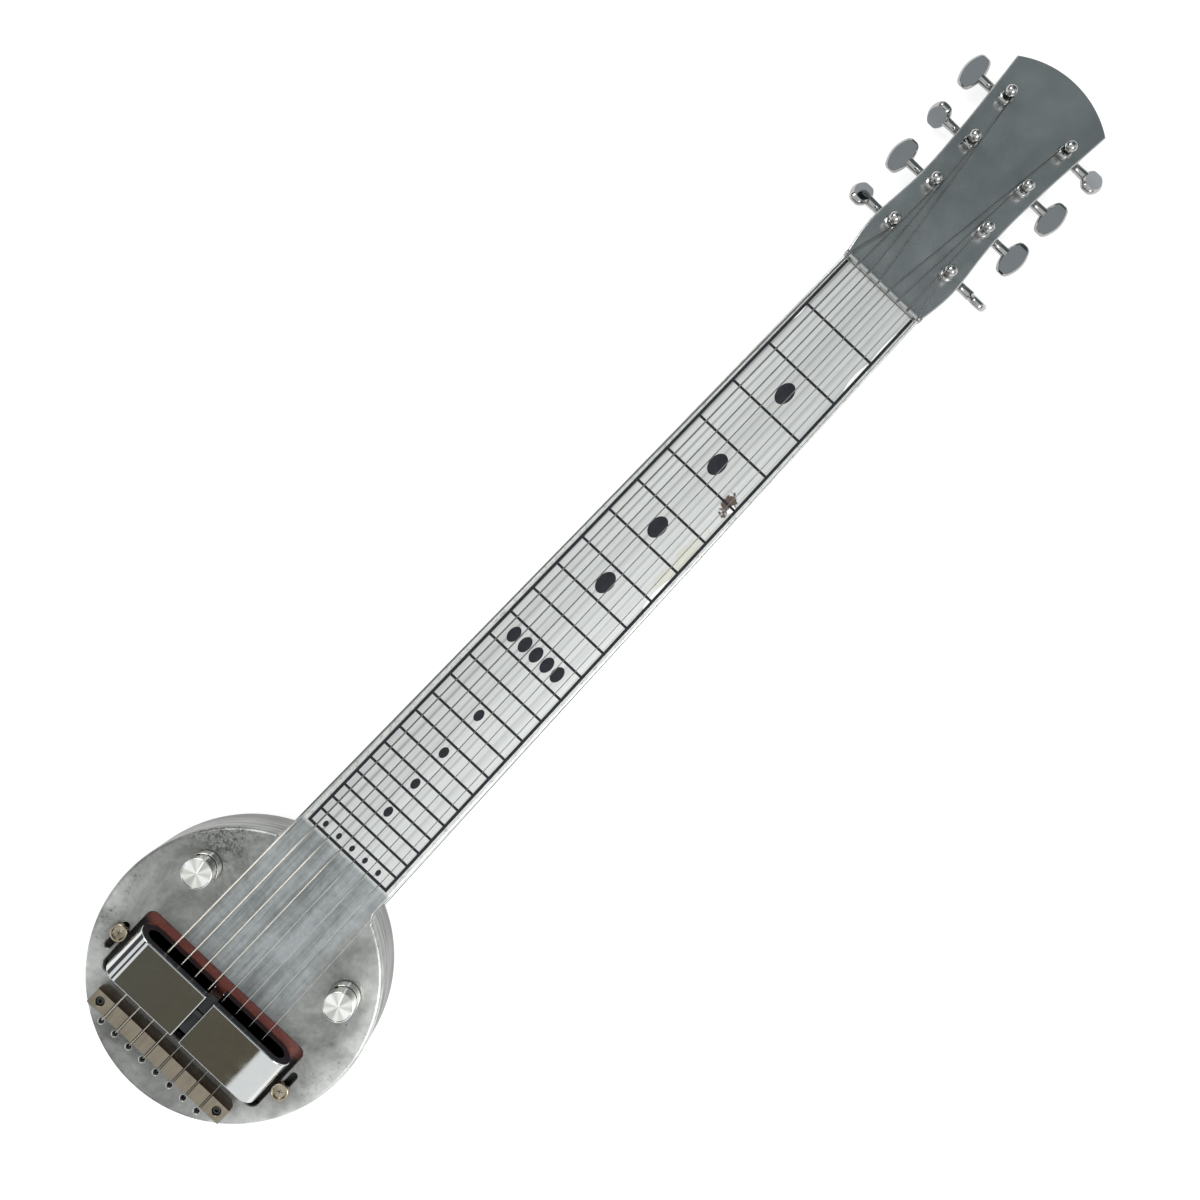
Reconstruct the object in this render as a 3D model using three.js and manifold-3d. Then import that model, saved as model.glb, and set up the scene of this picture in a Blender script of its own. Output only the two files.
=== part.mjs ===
import * as THREE from 'three';
import { mergeVertices } from 'three/addons/utils/BufferGeometryUtils.js';
import Module from 'manifold-3d';

// Lap steel guitar with a round cast body, eight strings and a two-horseshoe pickup.
// Millimetres. +Z is the string side and +Y runs from the body towards the headstock.
// The working frame has y = 0 at the start of the scale and z = 0 at the flat back of the body.
// The last lines move the whole guitar so that its origin lies under the middle of its box.

const wasm = await Module();
wasm.setup();

// Driving dimensions

const fit = { gap: 0.3, overrun: 1, weld: 0.5, merge: 0.0001 };
const facets = { body: 54, round: 18, small: 10, tiny: 8, quarter: 2, corner: 3, half: 4, hexagon: 6 };
const scale = { length: 571.5, frets: 24, perOctave: 12 };

const body = {
  radius: 83, depth: 41, topEdge: 3, backEdge: 12, topWall: 4, sideWall: 4, lip: 3.2,
};
const cover = { rim: 17, ledge: 10, thickness: 2, recess: 1, screwInset: 5, screws: 4 };
const coverScrew = {
  headRadius: 3.2, shankRadius: 1.5, headHeight: 1.4, length: 5.6, slotWidth: 0.9, slotDepth: 0.5,
};

const neck = {
  widthAtNut: 56, widthAtBody: 67, depthAtNut: 20, depthAtBody: 26, edge: 1.5, side: 6,
  heel: 7, flare: 5, volute: 20, voluteDepth: 9, voluteSink: 4,
};
const board = {
  widthAtNut: 50.8, widthAtBody: 60, thickness: 0.7, border: 1.4, fretLine: 1, engraving: 0.25,
};
const nut = { front: 1.5, thickness: 3, endMargin: 2.455, height: 5.5, pitch: 7.47, groove: 0.8 };
const head = {
  start: 3, tilt: 4, thickness: 12, length: 162.2, foot: 27.8, bulge: 31.1, bulgeAt: 25,
  waist: 28.4, waistAt: 64, flank: 30, flankAt: 104, crown: 34.2, crownDrop: 11.2,
};

const tuner = { firstRow: 30.5, pitch: 32.6, shaftDepth: 19, buttonReach: 24 };
// Distance of each post from the centre line, from the nut end.
const rowInsets = [21.2, 19.6, 20.1, 22.6];
const post = {
  shankRadius: 2.6, flangeRadius: 3.3, flangeHeight: 1.3, barrelRadius: 3, barrelTop: 1.9,
  waistRadius: 1.8, waistFoot: 2.1, waistTop: 7.9, domeRadius: 3, domeFoot: 9, domeBelly: 11, top: 13.8,
};
const gear = { radius: 4.5, teeth: 12, thickness: 4, toothDepth: 0.7 };
const worm = { radius: 2.4, rootRadius: 2.05, length: 9, ridges: 3 };
const button = {
  width: 13.4, length: 21.8, endWidth: 7.6, thickness: 5.2, round: 1.6, shaftRadius: 2, neckRadius: 2.8,
  neckTipRadius: 3.2, neckLength: 9.9,
};
const bracket = { wall: 1.5, halfWidth: 8, behind: 7, earGap: 0.8, earMargin: 1.4 };
// Resting turn of each button about its shaft, from the nut end: 0 lies flat, 90 stands on edge.
const buttonTurns = { bass: [-42, 17, 78, 14], treble: [-67, 9, 12, -39] };

const bridge = {
  depth: 9.9, height: 9.2, endMargin: 13.29, footInset: 2.4, footHeight: 3.4, pitch: 10.26, groove: 0.8,
  compensation: 1.1, screwInset: 5.4, screwHead: 2.3, screwHeadHeight: 2.4, screwShank: 1.6,
  screwSink: 1, socket: 1.3, socketDepth: 1.4,
};
const tail = {
  behindBridge: 8.1, rimMargin: 14.6, pitch: 10.4, holeRadius: 1.6, chamfer: 0.6, blockMargin: 8.6,
  blockReach: 6, blockDrop: 8,
};
const gauges = [1.4, 1.2, 1, 0.85, 0.6, 0.5, 0.44, 0.4];
const string = {
  ballRadius: 1.9, ballLength: 3.2, sides: 5, mostTurns: 3, steps: 10, turnGap: 0.5, looseEnd: 4,
};

// A knob's inset is its distance from the edge of the body, and its forward share is its place
// between the front of the pickup's base plate and the wall of the body on the neck side.
const knob = {
  inset: 20, forwardShare: 0.409, skirtRadius: 9.1, skirtHeight: 5.9, grooveRadius: 8.1, grooveHeight: 0.8,
  radius: 8.7, topRadius: 8.5, height: 14, rim: 0.6, dish: 0.4, lift: 0.9, line: 0.9, lineLength: 5,
  lineDepth: 0.4, setScrewRadius: 1.2, setScrewHeight: 7.6, setScrewDepth: 2, setScrewBearing: 130,
};
// Resting turn of each knob, anticlockwise seen from above: at 0 its line points to the headstock.
const knobTurns = { volume: 12, tone: 20 };
const pot = {
  canRadius: 12, canHeight: 10, bushRadius: 4.6, shaftRadius: 3, nutRadius: 6.5, nutHeight: 0.4,
  shaftDrop: 6,
};
const capacitor = { radius: 3.5, length: 18 };

// The places of the pickup's pieces along the strings are counted from the front of the bridge.
const opening = { rim: 24.6, fromBridge: 4, length: 43.1, corner: 4.4 };
const magnet = {
  sideRoom: 3.1, height: 20.5, thickness: 5.5, width: 28.7, gap: 5.4, fromBridge: 26.1,
};
const baseplate = {
  thickness: 3, fromBridge: 6.6, length: 47, sideLap: 1.6, earMargin: 4.9, earHalfLength: 8.5,
  corner: 3,
};
const pickupScrew = {
  rim: 20.4, bassFromBridge: 25.6, trebleFromBridge: 22.5, headRadius: 5.1, headHeight: 2.8,
  shankRadius: 1.6, length: 11.5, rimWidth: 1.1, rimDepth: 0.5, crossDepth: 1.5, crossWidth: 1,
  crossLength: 4.2,
};
const slot = { width: 4, length: 18.3, bassFromBridge: 22.65, trebleFromBridge: 25.65 };
const bobbin = { endRoom: 11.3, width: 26, height: 5.7, flange: 1.1, coreMargin: 6, coreWidth: 8 };
const pole = { coreMargin: 1.5, width: 3, rise: 0.6 };

const jack = {
  z: 20, pocket: 1.8, bushRadius: 4.7, nutRadius: 6.5, nutHeight: 1.2, sleeveRadius: 6,
  sleeveLength: 20, boreRadius: 3.3, boreDepth: 19,
};

const paint = {
  casting: { color: 0x9a9c9a, roughness: 0.42, metalness: 0.9 },
  steel: { color: 0xb9bbba, roughness: 0.3, metalness: 1 },
  chrome: { color: 0xd5d6d4, roughness: 0.08, metalness: 1 },
  board: { color: 0xcdcfcb, roughness: 0.2, metalness: 0.6 },
  nickel: { color: 0x877d70, roughness: 0.35, metalness: 0.9 },
  bronze: { color: 0xb3a78f, roughness: 0.4, metalness: 0.9 },
  fibre: { color: 0x733226, roughness: 0.65, metalness: 0 },
  black: { color: 0x23262a, roughness: 0.4, metalness: 0 },
  copper: { color: 0x7a4a2c, roughness: 0.5, metalness: 0.6 },
};

// Levels and places worked out from the driving dimensions

const stringCount = gauges.length;
const deck = body.depth;
const ceiling = deck - body.topWall;
const cavityRadius = body.radius - body.sideWall;
const coverRadius = body.radius - cover.rim;
const lipInner = coverRadius - cover.ledge;
const coverSeat = cover.recess + cover.thickness + fit.gap;
const lipTop = coverSeat + body.lip;
const boardTop = deck + fit.gap + board.thickness;
const boardEnd = -fretPlace(scale.frets) - board.border;
const nutBack = nut.front + nut.thickness;
const nutHalf = nut.endMargin + stringX(stringCount - 1, nut.pitch);
const nutTop = boardTop + nut.height;
const bridgeFront = -scale.length - bridge.compensation;
const bridgeBack = bridgeFront - bridge.depth;
const bridgeFoot = deck + fit.gap;
const bridgeTop = bridgeFoot + bridge.height;
const bridgeHalf = bridge.endMargin + stringX(stringCount - 1, bridge.pitch);
const bridgeScrewX = bridgeHalf - bridge.screwInset;
const bridgeScrewY = (bridgeFront + bridgeBack) / 2;
const tailY = bridgeBack - tail.behindBridge;
const bodyY = tailY - tail.rimMargin + body.radius;
const blockFoot = ceiling - tail.blockDrop;
const baseTop = ceiling - fit.gap;
const magnetFoot = baseTop + fit.gap;
const magnetRadius = magnet.height / 2;
const openingHalf = body.radius - opening.rim;
const magnetReach = openingHalf - magnet.sideRoom;
const magnetY = bridgeFront + magnet.fromBridge;
const pickupScrewX = body.radius - pickupScrew.rim;
const bobbinHalf = magnetReach - bobbin.endRoom;
const coreHalf = bobbinHalf - bobbin.coreMargin;
const poleHalf = coreHalf - pole.coreMargin;
const baseBack = bridgeFront + baseplate.fromBridge;
const baseFront = baseBack + baseplate.length;
const knobY = baseFront + (bodyY + cavityRadius - baseFront) * knob.forwardShare;
const knobX = Math.sqrt((body.radius - knob.inset) ** 2 - (knobY - bodyY) ** 2);
const bobbinFoot = magnetFoot + magnet.thickness + fit.gap;
const bobbinTop = bobbinFoot + bobbin.height;
const wormOffset = gear.radius + fit.gap + worm.radius;
const jackWall = bodyY - body.radius + jack.pocket;

function fretPlace(number) {
  return scale.length * (1 - 2 ** (-number / scale.perOctave));
}

// Width at y of a strip that tapers evenly between the nut and the end of the fretboard.
function taper(atNut, atBody, y) {
  return atNut + ((atBody - atNut) * (nut.front - y)) / (nut.front - boardEnd);
}

function stringX(index, pitch) {
  return (index - (stringCount - 1) / 2) * pitch;
}

// The headstock frame: x across, y along its face from the bend, z off its face.
const headPlace = new THREE.Matrix4()
  .makeTranslation(0, head.start, deck)
  .multiply(new THREE.Matrix4().makeRotationX(THREE.MathUtils.degToRad(-head.tilt)));

function onHead(x, along, off) {
  return new THREE.Vector3(x, along, off).applyMatrix4(headPlace);
}

function rowPlace(row) {
  return tuner.firstRow + row * tuner.pitch;
}

// Geometry helpers

// Merges a geometry's vertices, drops its empty triangles and turns its faces outwards.
function closed(geometry) {
  const bare = geometry.clone();
  for (const name of Object.keys(bare.attributes)) {
    if (name !== 'position') bare.deleteAttribute(name);
  }
  const merged = mergeVertices(bare, fit.merge);
  const index = merged.index.array;
  const corners = [new THREE.Vector3(), new THREE.Vector3(), new THREE.Vector3()];
  const kept = [];
  let volume = 0;
  for (let i = 0; i < index.length; i += 3) {
    const [p, q, r] = index.slice(i, i + 3);
    if (p === q || q === r || r === p) continue;
    kept.push(p, q, r);
    [p, q, r].forEach((vertex, k) => corners[k].fromBufferAttribute(merged.attributes.position, vertex));
    volume += corners[0].dot(corners[1].cross(corners[2]));
  }
  merged.setIndex(volume > 0 ? kept : kept.reverse());
  return merged;
}

function toSolid(geometry) {
  const shell = closed(geometry);
  return new wasm.Manifold(new wasm.Mesh({
    numProp: 3,
    vertProperties: new Float32Array(shell.attributes.position.array),
    triVerts: new Uint32Array(shell.index.array),
  }));
}

function toGeometry(solid) {
  const shell = solid.getMesh();
  const geometry = new THREE.BufferGeometry();
  geometry.setAttribute('position', new THREE.BufferAttribute(shell.vertProperties, 3));
  geometry.setIndex(new THREE.BufferAttribute(shell.triVerts, 1));
  return geometry;
}

function join(...geometries) {
  return toGeometry(geometries.map(toSolid).reduce((whole, piece) => whole.add(piece)));
}

function cut(geometry, ...tools) {
  return toGeometry(tools.map(toSolid).reduce((whole, tool) => whole.subtract(tool), toSolid(geometry)));
}

function common(first, second) {
  return toGeometry(toSolid(first).intersect(toSolid(second)));
}

// A block given by its low and high corners.
function block(low, high) {
  const size = high.map((value, axis) => value - low[axis]);
  const middle = high.map((value, axis) => (value + low[axis]) / 2);
  return new THREE.BoxGeometry(...size).translate(...middle);
}

// A round bar along Z between two heights, with a second radius at the top for a cone.
function bar(radius, low, high, segments = facets.small, topRadius = radius) {
  const geometry = new THREE.CylinderGeometry(topRadius, radius, high - low, segments);
  return geometry.rotateX(Math.PI / 2).translate(0, 0, (low + high) / 2);
}

// A profile of [radius, height] pairs spun about Z.
function spun(profile, segments) {
  const points = profile.map(([radius, height]) => new THREE.Vector2(radius, height));
  return new THREE.LatheGeometry(points, segments).rotateX(Math.PI / 2);
}

// Points of an arc in a profile, with angles in degrees.
function arcPoints(centreRadius, centreHeight, radius, from, to, steps) {
  return Array.from({ length: steps + 1 }, (_, i) => {
    const angle = THREE.MathUtils.degToRad(from + ((to - from) * i) / steps);
    return [centreRadius + radius * Math.cos(angle), centreHeight + radius * Math.sin(angle)];
  });
}

// A flat outline in X and Y raised from one height to another.
function raised(shape, low, high, curveSegments = facets.quarter) {
  const options = { depth: high - low, bevelEnabled: false, curveSegments };
  return new THREE.ExtrudeGeometry(shape, options).translate(0, 0, low);
}

function outline(points) {
  return new THREE.Shape(points.map(([x, y]) => new THREE.Vector2(x, y)));
}

function roundedBox(left, front, right, back, radius) {
  const shape = new THREE.Shape();
  shape.absarc(right - radius, back - radius, radius, 0, Math.PI / 2);
  shape.absarc(left + radius, back - radius, radius, Math.PI / 2, Math.PI);
  shape.absarc(left + radius, front + radius, radius, Math.PI, 1.5 * Math.PI);
  shape.absarc(right - radius, front + radius, radius, 1.5 * Math.PI, 2 * Math.PI);
  return shape;
}

// A flat bar along X with half-round ends.
function stadium(halfLength, width, low, high) {
  const radius = width / 2;
  const shape = new THREE.Shape();
  shape.absarc(halfLength - radius, 0, radius, -Math.PI / 2, Math.PI / 2);
  shape.absarc(radius - halfLength, 0, radius, Math.PI / 2, 1.5 * Math.PI);
  return raised(shape, low, high, facets.half);
}

// Rings of equal point count joined into one closed skin with flat ends.
function skin(rings) {
  const count = rings[0].length;
  const positions = rings.flat().flatMap((point) => [point.x, point.y, point.z]);
  const index = [];
  for (let ring = 0; ring < rings.length - 1; ring += 1) {
    for (let i = 0; i < count; i += 1) {
      const here = ring * count + i;
      const next = ring * count + ((i + 1) % count);
      index.push(here, next, next + count, here, next + count, here + count);
    }
  }
  const last = (rings.length - 1) * count;
  for (let i = 1; i < count - 1; i += 1) {
    index.push(0, i + 1, i);
    index.push(last, last + i, last + i + 1);
  }
  const geometry = new THREE.BufferGeometry();
  geometry.setAttribute('position', new THREE.Float32BufferAttribute(positions, 3));
  geometry.setIndex(index);
  return geometry;
}

// A round wire through a list of points, mitred at each bend.
function wire(points, radius, sides) {
  const side = new THREE.Vector3(1, 0, 0);
  return skin(points.map((point, i) => {
    const before = points[Math.max(i - 1, 0)];
    const after = points[Math.min(i + 1, points.length - 1)];
    const ahead = after.clone().sub(point).normalize();
    const arriving = point.clone().sub(before).normalize();
    const along = ahead.clone().add(arriving).normalize();
    const lean = ahead.clone().sub(arriving);
    const stretch = 1 / Math.sqrt(1 - lean.lengthSq() / 4) - 1;
    const inBend = i > 0 && i < points.length - 1 && stretch > 0;
    lean.normalize();
    side.addScaledVector(along, -side.dot(along)).normalize();
    const up = along.clone().cross(side);
    return Array.from({ length: sides }, (_, k) => {
      const angle = (2 * Math.PI * k) / sides;
      const spoke = side.clone().multiplyScalar(Math.cos(angle)).addScaledVector(up, Math.sin(angle));
      if (inBend) spoke.addScaledVector(lean, spoke.dot(lean) * stretch);
      return point.clone().addScaledVector(spoke, radius);
    });
  }));
}

function mesh(name, geometry, finish) {
  const solid = new THREE.Mesh(closed(geometry), new THREE.MeshStandardMaterial(paint[finish]));
  solid.name = name;
  return solid;
}

// Cast body, neck and headstock

function panProfile() {
  const backCentre = body.radius - body.backEdge;
  const innerEdge = body.backEdge - body.sideWall;
  const innerStart = THREE.MathUtils.radToDeg(Math.asin((lipTop - body.backEdge) / innerEdge));
  return [
    [0, deck],
    ...arcPoints(body.radius - body.topEdge, deck - body.topEdge, body.topEdge, 90, 0, facets.corner),
    ...arcPoints(backCentre, body.backEdge, body.backEdge, 0, -90, facets.corner),
    [coverRadius + fit.gap, 0],
    [coverRadius + fit.gap, coverSeat],
    [lipInner, coverSeat],
    [lipInner, lipTop],
    ...arcPoints(backCentre, body.backEdge, innerEdge, innerStart, 0, facets.corner),
    [cavityRadius, ceiling],
    [0, ceiling],
  ];
}

// One cross-section of the neck: flat top with eased edges, straight sides and a half-round back.
function neckSection(y, top, halfWidth, depth) {
  const corners = [
    [neck.edge - halfWidth, 0],
    [halfWidth - neck.edge, 0],
    [halfWidth, -neck.edge],
    ...arcPoints(0, 0, 1, 0, 180, facets.tiny).map(([across, down]) => (
      [halfWidth * across, -neck.side - (depth - neck.side) * down])),
    [-halfWidth, -neck.edge],
  ];
  return corners.map(([x, z]) => new THREE.Vector3(x, y, top + z));
}

// The heel ends inside the body wall, so it never shows past the round outline.
function neckSolid() {
  const rootY = bodyY + Math.sqrt(body.radius ** 2 - (neck.widthAtBody / 2) ** 2);
  const tipWidth = head.foot - neck.edge;
  const tipDepth = neck.voluteDepth - neck.voluteSink;
  const sections = [
    neckSection(head.start + neck.volute, deck - neck.voluteSink, tipWidth, tipDepth),
    neckSection(head.start, deck, neck.widthAtNut / 2, neck.depthAtNut),
  ];
  for (let i = 0; i <= facets.half; i += 1) {
    const share = i / facets.half;
    const y = rootY + neck.flare * (1 - share);
    const spread = neck.flare * (1 - Math.sqrt(1 - share ** 2));
    const halfWidth = taper(neck.widthAtNut, neck.widthAtBody, y) / 2 + spread;
    sections.push(neckSection(y, deck, halfWidth, neck.depthAtBody));
  }
  const heelWidth = neck.widthAtBody / 2 + neck.flare;
  sections.push(neckSection(rootY - neck.heel, deck, heelWidth, neck.depthAtBody));
  return skin(sections);
}

function headOutline() {
  const crownAt = head.length - head.crownDrop;
  const right = [
    [head.foot, -fit.weld],
    [head.bulge, head.bulgeAt],
    [head.waist, head.waistAt],
    [head.flank, head.flankAt],
    [head.crown, crownAt],
  ];
  const left = right.map(([x, y]) => new THREE.Vector2(-x, y)).reverse();
  const radius = (head.crown ** 2 + head.crownDrop ** 2) / (2 * head.crownDrop);
  const half = Math.asin(head.crown / radius);
  const shape = new THREE.Shape();
  shape.moveTo(...right[0]);
  shape.splineThru(right.slice(1).map(([x, y]) => new THREE.Vector2(x, y)));
  shape.absarc(0, head.length - radius, radius, Math.PI / 2 - half, Math.PI / 2 + half);
  shape.splineThru(left.slice(1));
  return shape;
}

// Thick part under the deck that the strings pass through.
function tailBlock() {
  const disc = bar(cavityRadius + fit.weld, blockFoot, ceiling + fit.weld, facets.body);
  const half = tail.blockMargin + stringX(stringCount - 1, tail.pitch);
  return common(disc.translate(0, bodyY, 0), block(
    [-half, bodyY - body.radius, blockFoot],
    [half, tailY + tail.blockReach, ceiling + fit.weld],
  ));
}

function slotTool(side, fromBridge) {
  const tool = stadium(slot.length / 2, slot.width, ceiling - fit.overrun, deck + fit.overrun);
  return tool.rotateZ(Math.PI / 2).translate(side * pickupScrewX, bridgeFront + fromBridge, 0);
}

function tailHoleTools(x) {
  const mouth = tail.chamfer + fit.overrun;
  const ballTop = blockFoot + string.ballLength + fit.gap;
  return [
    bar(tail.holeRadius, blockFoot - fit.overrun, deck + fit.overrun, facets.tiny),
    bar(tail.holeRadius, deck - tail.chamfer, deck + fit.overrun, facets.tiny, tail.holeRadius + mouth),
    bar(string.ballRadius + fit.gap, blockFoot - fit.overrun, ballTop, facets.tiny),
  ].map((tool) => tool.translate(x, tailY, 0));
}

function jackTools() {
  const wall = body.sideWall + fit.overrun;
  const hole = bar(jack.bushRadius + fit.gap, -wall, wall, facets.round);
  const half = jack.nutRadius + fit.gap;
  return [
    hole.rotateX(Math.PI / 2).translate(0, jackWall, jack.z),
    block([-half, jackWall - jack.pocket - fit.overrun, jack.z - half], [half, jackWall, jack.z + half]),
  ];
}

function castingTools() {
  const low = ceiling - fit.overrun;
  const high = deck + fit.overrun;
  const back = bridgeFront + opening.fromBridge;
  const window = roundedBox(-openingHalf, back, openingHalf, back + opening.length, opening.corner);
  const tools = [raised(window, low, high), ...jackTools()];
  tools.push(slotTool(-1, slot.bassFromBridge), slotTool(1, slot.trebleFromBridge));
  for (const side of [-1, 1]) {
    const potHole = bar(pot.bushRadius + fit.gap, low, high, facets.round);
    const screwHole = bar(bridge.screwShank + fit.gap, low, high);
    tools.push(potHole.translate(side * knobX, knobY, 0));
    tools.push(screwHole.translate(side * bridgeScrewX, bridgeScrewY, 0));
    rowInsets.forEach((inset, row) => {
      const bore = bar(post.shankRadius + fit.gap, -head.thickness - fit.overrun, fit.overrun, facets.tiny);
      tools.push(bore.translate(side * inset, rowPlace(row), 0).applyMatrix4(headPlace));
    });
  }
  gauges.forEach((_, i) => tools.push(...tailHoleTools(stringX(i, tail.pitch))));
  for (const [x, y] of coverScrewPlaces()) {
    const hole = bar(coverScrew.shankRadius + fit.gap, coverSeat - fit.overrun, lipTop + fit.overrun);
    tools.push(hole.translate(x, y, 0));
  }
  return tools;
}

function bodyCasting() {
  const pan = spun(panProfile(), facets.body).translate(0, bodyY, 0);
  const headstock = raised(headOutline(), -head.thickness, 0, facets.half).applyMatrix4(headPlace);
  return cut(join(pan, neckSolid(), headstock, tailBlock()), ...castingTools());
}

// Back cover and its screws

function coverScrewPlaces() {
  return Array.from({ length: cover.screws }, (_, i) => {
    const angle = (2 * Math.PI * (i + 0.5)) / cover.screws;
    const circle = coverRadius - cover.screwInset;
    return [circle * Math.cos(angle), bodyY + circle * Math.sin(angle)];
  });
}

function backCover() {
  const disc = bar(coverRadius, cover.recess, cover.recess + cover.thickness, facets.body);
  const countersink = spun([
    [0, -fit.overrun],
    [coverScrew.headRadius + fit.gap, -fit.overrun],
    [coverScrew.headRadius + fit.gap, fit.gap],
    [coverScrew.shankRadius + fit.gap, coverScrew.headHeight + fit.gap],
    [coverScrew.shankRadius + fit.gap, coverScrew.length],
    [0, coverScrew.length],
  ], facets.small);
  const tools = coverScrewPlaces().map(([x, y]) => countersink.clone().translate(x, y, cover.recess));
  return cut(disc.translate(0, bodyY, 0), ...tools);
}

function coverScrewSolid() {
  const screw = spun([
    [0, 0],
    [coverScrew.headRadius, 0],
    [coverScrew.shankRadius, coverScrew.headHeight],
    [coverScrew.shankRadius, coverScrew.length],
    [0, coverScrew.length],
  ], facets.small);
  const reach = coverScrew.headRadius + fit.overrun;
  const half = coverScrew.slotWidth / 2;
  return cut(screw, block([-reach, -half, -fit.overrun], [reach, half, coverScrew.slotDepth]));
}

// Fretboard, nut and bridge

function strip(widthAtNut, widthAtBody, from, to, low, high) {
  const near = taper(widthAtNut, widthAtBody, from) / 2;
  const far = taper(widthAtNut, widthAtBody, to) / 2;
  return raised(outline([[-near, from], [-far, to], [far, to], [near, from]]), low, high);
}

// The border and the fret lines are sunk a little, as they are filled with black.
function fretboard() {
  const start = nut.front - fit.gap;
  const floor = boardTop - board.engraving;
  const above = boardTop + fit.overrun;
  const inset = 2 * board.border;
  const spare = 2 * fit.overrun;
  const plate = strip(board.widthAtNut, board.widthAtBody, start, boardEnd, deck + fit.gap, boardTop);
  const field = strip(board.widthAtNut - inset, board.widthAtBody - inset,
    start - board.border, boardEnd + board.border, floor - fit.overrun, above + fit.overrun);
  const surround = strip(board.widthAtNut + spare, board.widthAtBody + spare,
    start + fit.overrun, boardEnd - fit.overrun, floor, above);
  const half = board.fretLine / 2;
  const lines = Array.from({ length: scale.frets - 1 }, (_, i) => {
    const y = -fretPlace(i + 1);
    return strip(board.widthAtNut - board.border, board.widthAtBody - board.border,
      y + half, y - half, floor, above);
  });
  return cut(plate, join(cut(surround, field), ...lines));
}

// Notches across the top of the nut or the bridge, one for each string.
function stringNotches(pitch, from, to, top, depth) {
  return gauges.map((gauge, i) => {
    const x = stringX(i, pitch);
    const reach = gauge / 2 + fit.gap;
    return block(
      [x - reach, from - fit.overrun, top - depth],
      [x + reach, to + fit.overrun, top + fit.overrun],
    );
  });
}

function nutSolid() {
  const wall = block([-nutHalf, nut.front, deck + fit.gap], [nutHalf, nutBack, nutTop]);
  return cut(wall, ...stringNotches(nut.pitch, nut.front, nutBack, nutTop, nut.groove));
}

function bridgeSolid() {
  const footHalf = bridgeHalf - bridge.footInset;
  const front = outline([
    [-footHalf, 0], [footHalf, 0], [bridgeHalf, bridge.footHeight],
    [bridgeHalf, bridge.height], [-bridgeHalf, bridge.height], [-bridgeHalf, bridge.footHeight],
  ]);
  const rail = raised(front, 0, bridge.depth).rotateX(Math.PI / 2).translate(0, bridgeFront, bridgeFoot);
  const tools = stringNotches(bridge.pitch, bridgeBack, bridgeFront, bridgeTop, bridge.groove);
  const pocket = bridgeTop - bridge.screwSink - bridge.screwHeadHeight - fit.gap;
  for (const side of [-1, 1]) {
    const x = side * bridgeScrewX;
    const pocketHole = bar(bridge.screwHead + fit.gap, pocket, bridgeTop + fit.overrun);
    const shankHole = bar(bridge.screwShank + fit.gap, bridgeFoot - fit.overrun, bridgeTop);
    tools.push(pocketHole.translate(x, bridgeScrewY, 0), shankHole.translate(x, bridgeScrewY, 0));
  }
  return cut(rail, ...tools);
}

// A hexagon socket screw that reaches through the deck.
function bridgeScrewSolid() {
  const headTop = bridgeTop - bridge.screwSink;
  const headFoot = headTop - bridge.screwHeadHeight;
  const shank = bar(bridge.screwShank, ceiling, headFoot + fit.weld);
  const socket = bar(bridge.socket, headTop - bridge.socketDepth, headTop + fit.overrun, facets.hexagon);
  return cut(join(bar(bridge.screwHead, headFoot, headTop), shank), socket);
}

// Strings: each is one wire from its ball end to its turns round the post

function windingOf(index) {
  const bass = index < stringCount / 2;
  const row = bass ? index : stringCount - 1 - index;
  const gauge = gauges[index];
  const nextGauge = gauges[bass ? index + 1 : index - 1];
  // The next string passes over the turns on the post nearest the nut.
  const under = row === 0 ? nextGauge + 2 * fit.gap : 0;
  const top = post.waistTop - fit.gap - under - gauge / 2;
  const pitch = gauge + string.turnGap;
  const halfTurns = Math.floor((2 * (top - gauge / 2 - fit.gap - post.waistFoot)) / pitch);
  return { side: bass ? -1 : 1, row, top, pitch, turns: Math.min(halfTurns / 2, string.mostTurns) };
}

// The turns climb down the waist of the post from the side that faces the centre line.
function windingPoints(index) {
  const { side, row, top, pitch, turns } = windingOf(index);
  const turnRadius = post.waistRadius + fit.gap + gauges[index] / 2;
  const steps = Math.round(turns * string.steps);
  return Array.from({ length: steps + 1 }, (_, i) => {
    const angle = (2 * Math.PI * i) / string.steps;
    const x = side * (rowInsets[row] - turnRadius * Math.cos(angle));
    return onHead(x, rowPlace(row) + turnRadius * Math.sin(angle), top - (pitch * i) / string.steps);
  });
}

// Least distance between the skins of two turns.
function leastGap(points, radius) {
  let least = Infinity;
  points.forEach((point, i) => {
    for (const other of points.slice(i + string.steps / 2)) {
      least = Math.min(least, point.distanceTo(other) - 2 * radius);
    }
  });
  return least;
}

function stringPoints(index) {
  const lift = fit.gap + gauges[index] / 2;
  const tailX = stringX(index, tail.pitch);
  const bridgeX = stringX(index, bridge.pitch);
  const bridgeLevel = bridgeTop - bridge.groove + lift;
  const nutX = stringX(index, nut.pitch);
  const nutLevel = nutTop - nut.groove + lift;
  const turns = windingPoints(index);
  const last = turns.at(-1);
  const leaving = last.clone().sub(turns.at(-2)).normalize();
  return [
    new THREE.Vector3(tailX, tailY, blockFoot + string.ballLength / 2),
    new THREE.Vector3(tailX, tailY, deck + fit.gap),
    new THREE.Vector3(bridgeX, bridgeBack, bridgeLevel + fit.gap),
    new THREE.Vector3(bridgeX, bridgeFront, bridgeLevel),
    new THREE.Vector3(nutX, nut.front, nutLevel),
    new THREE.Vector3(nutX, nutBack, nutLevel),
    ...turns,
    last.clone().addScaledVector(leaving, string.looseEnd),
  ];
}

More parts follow.
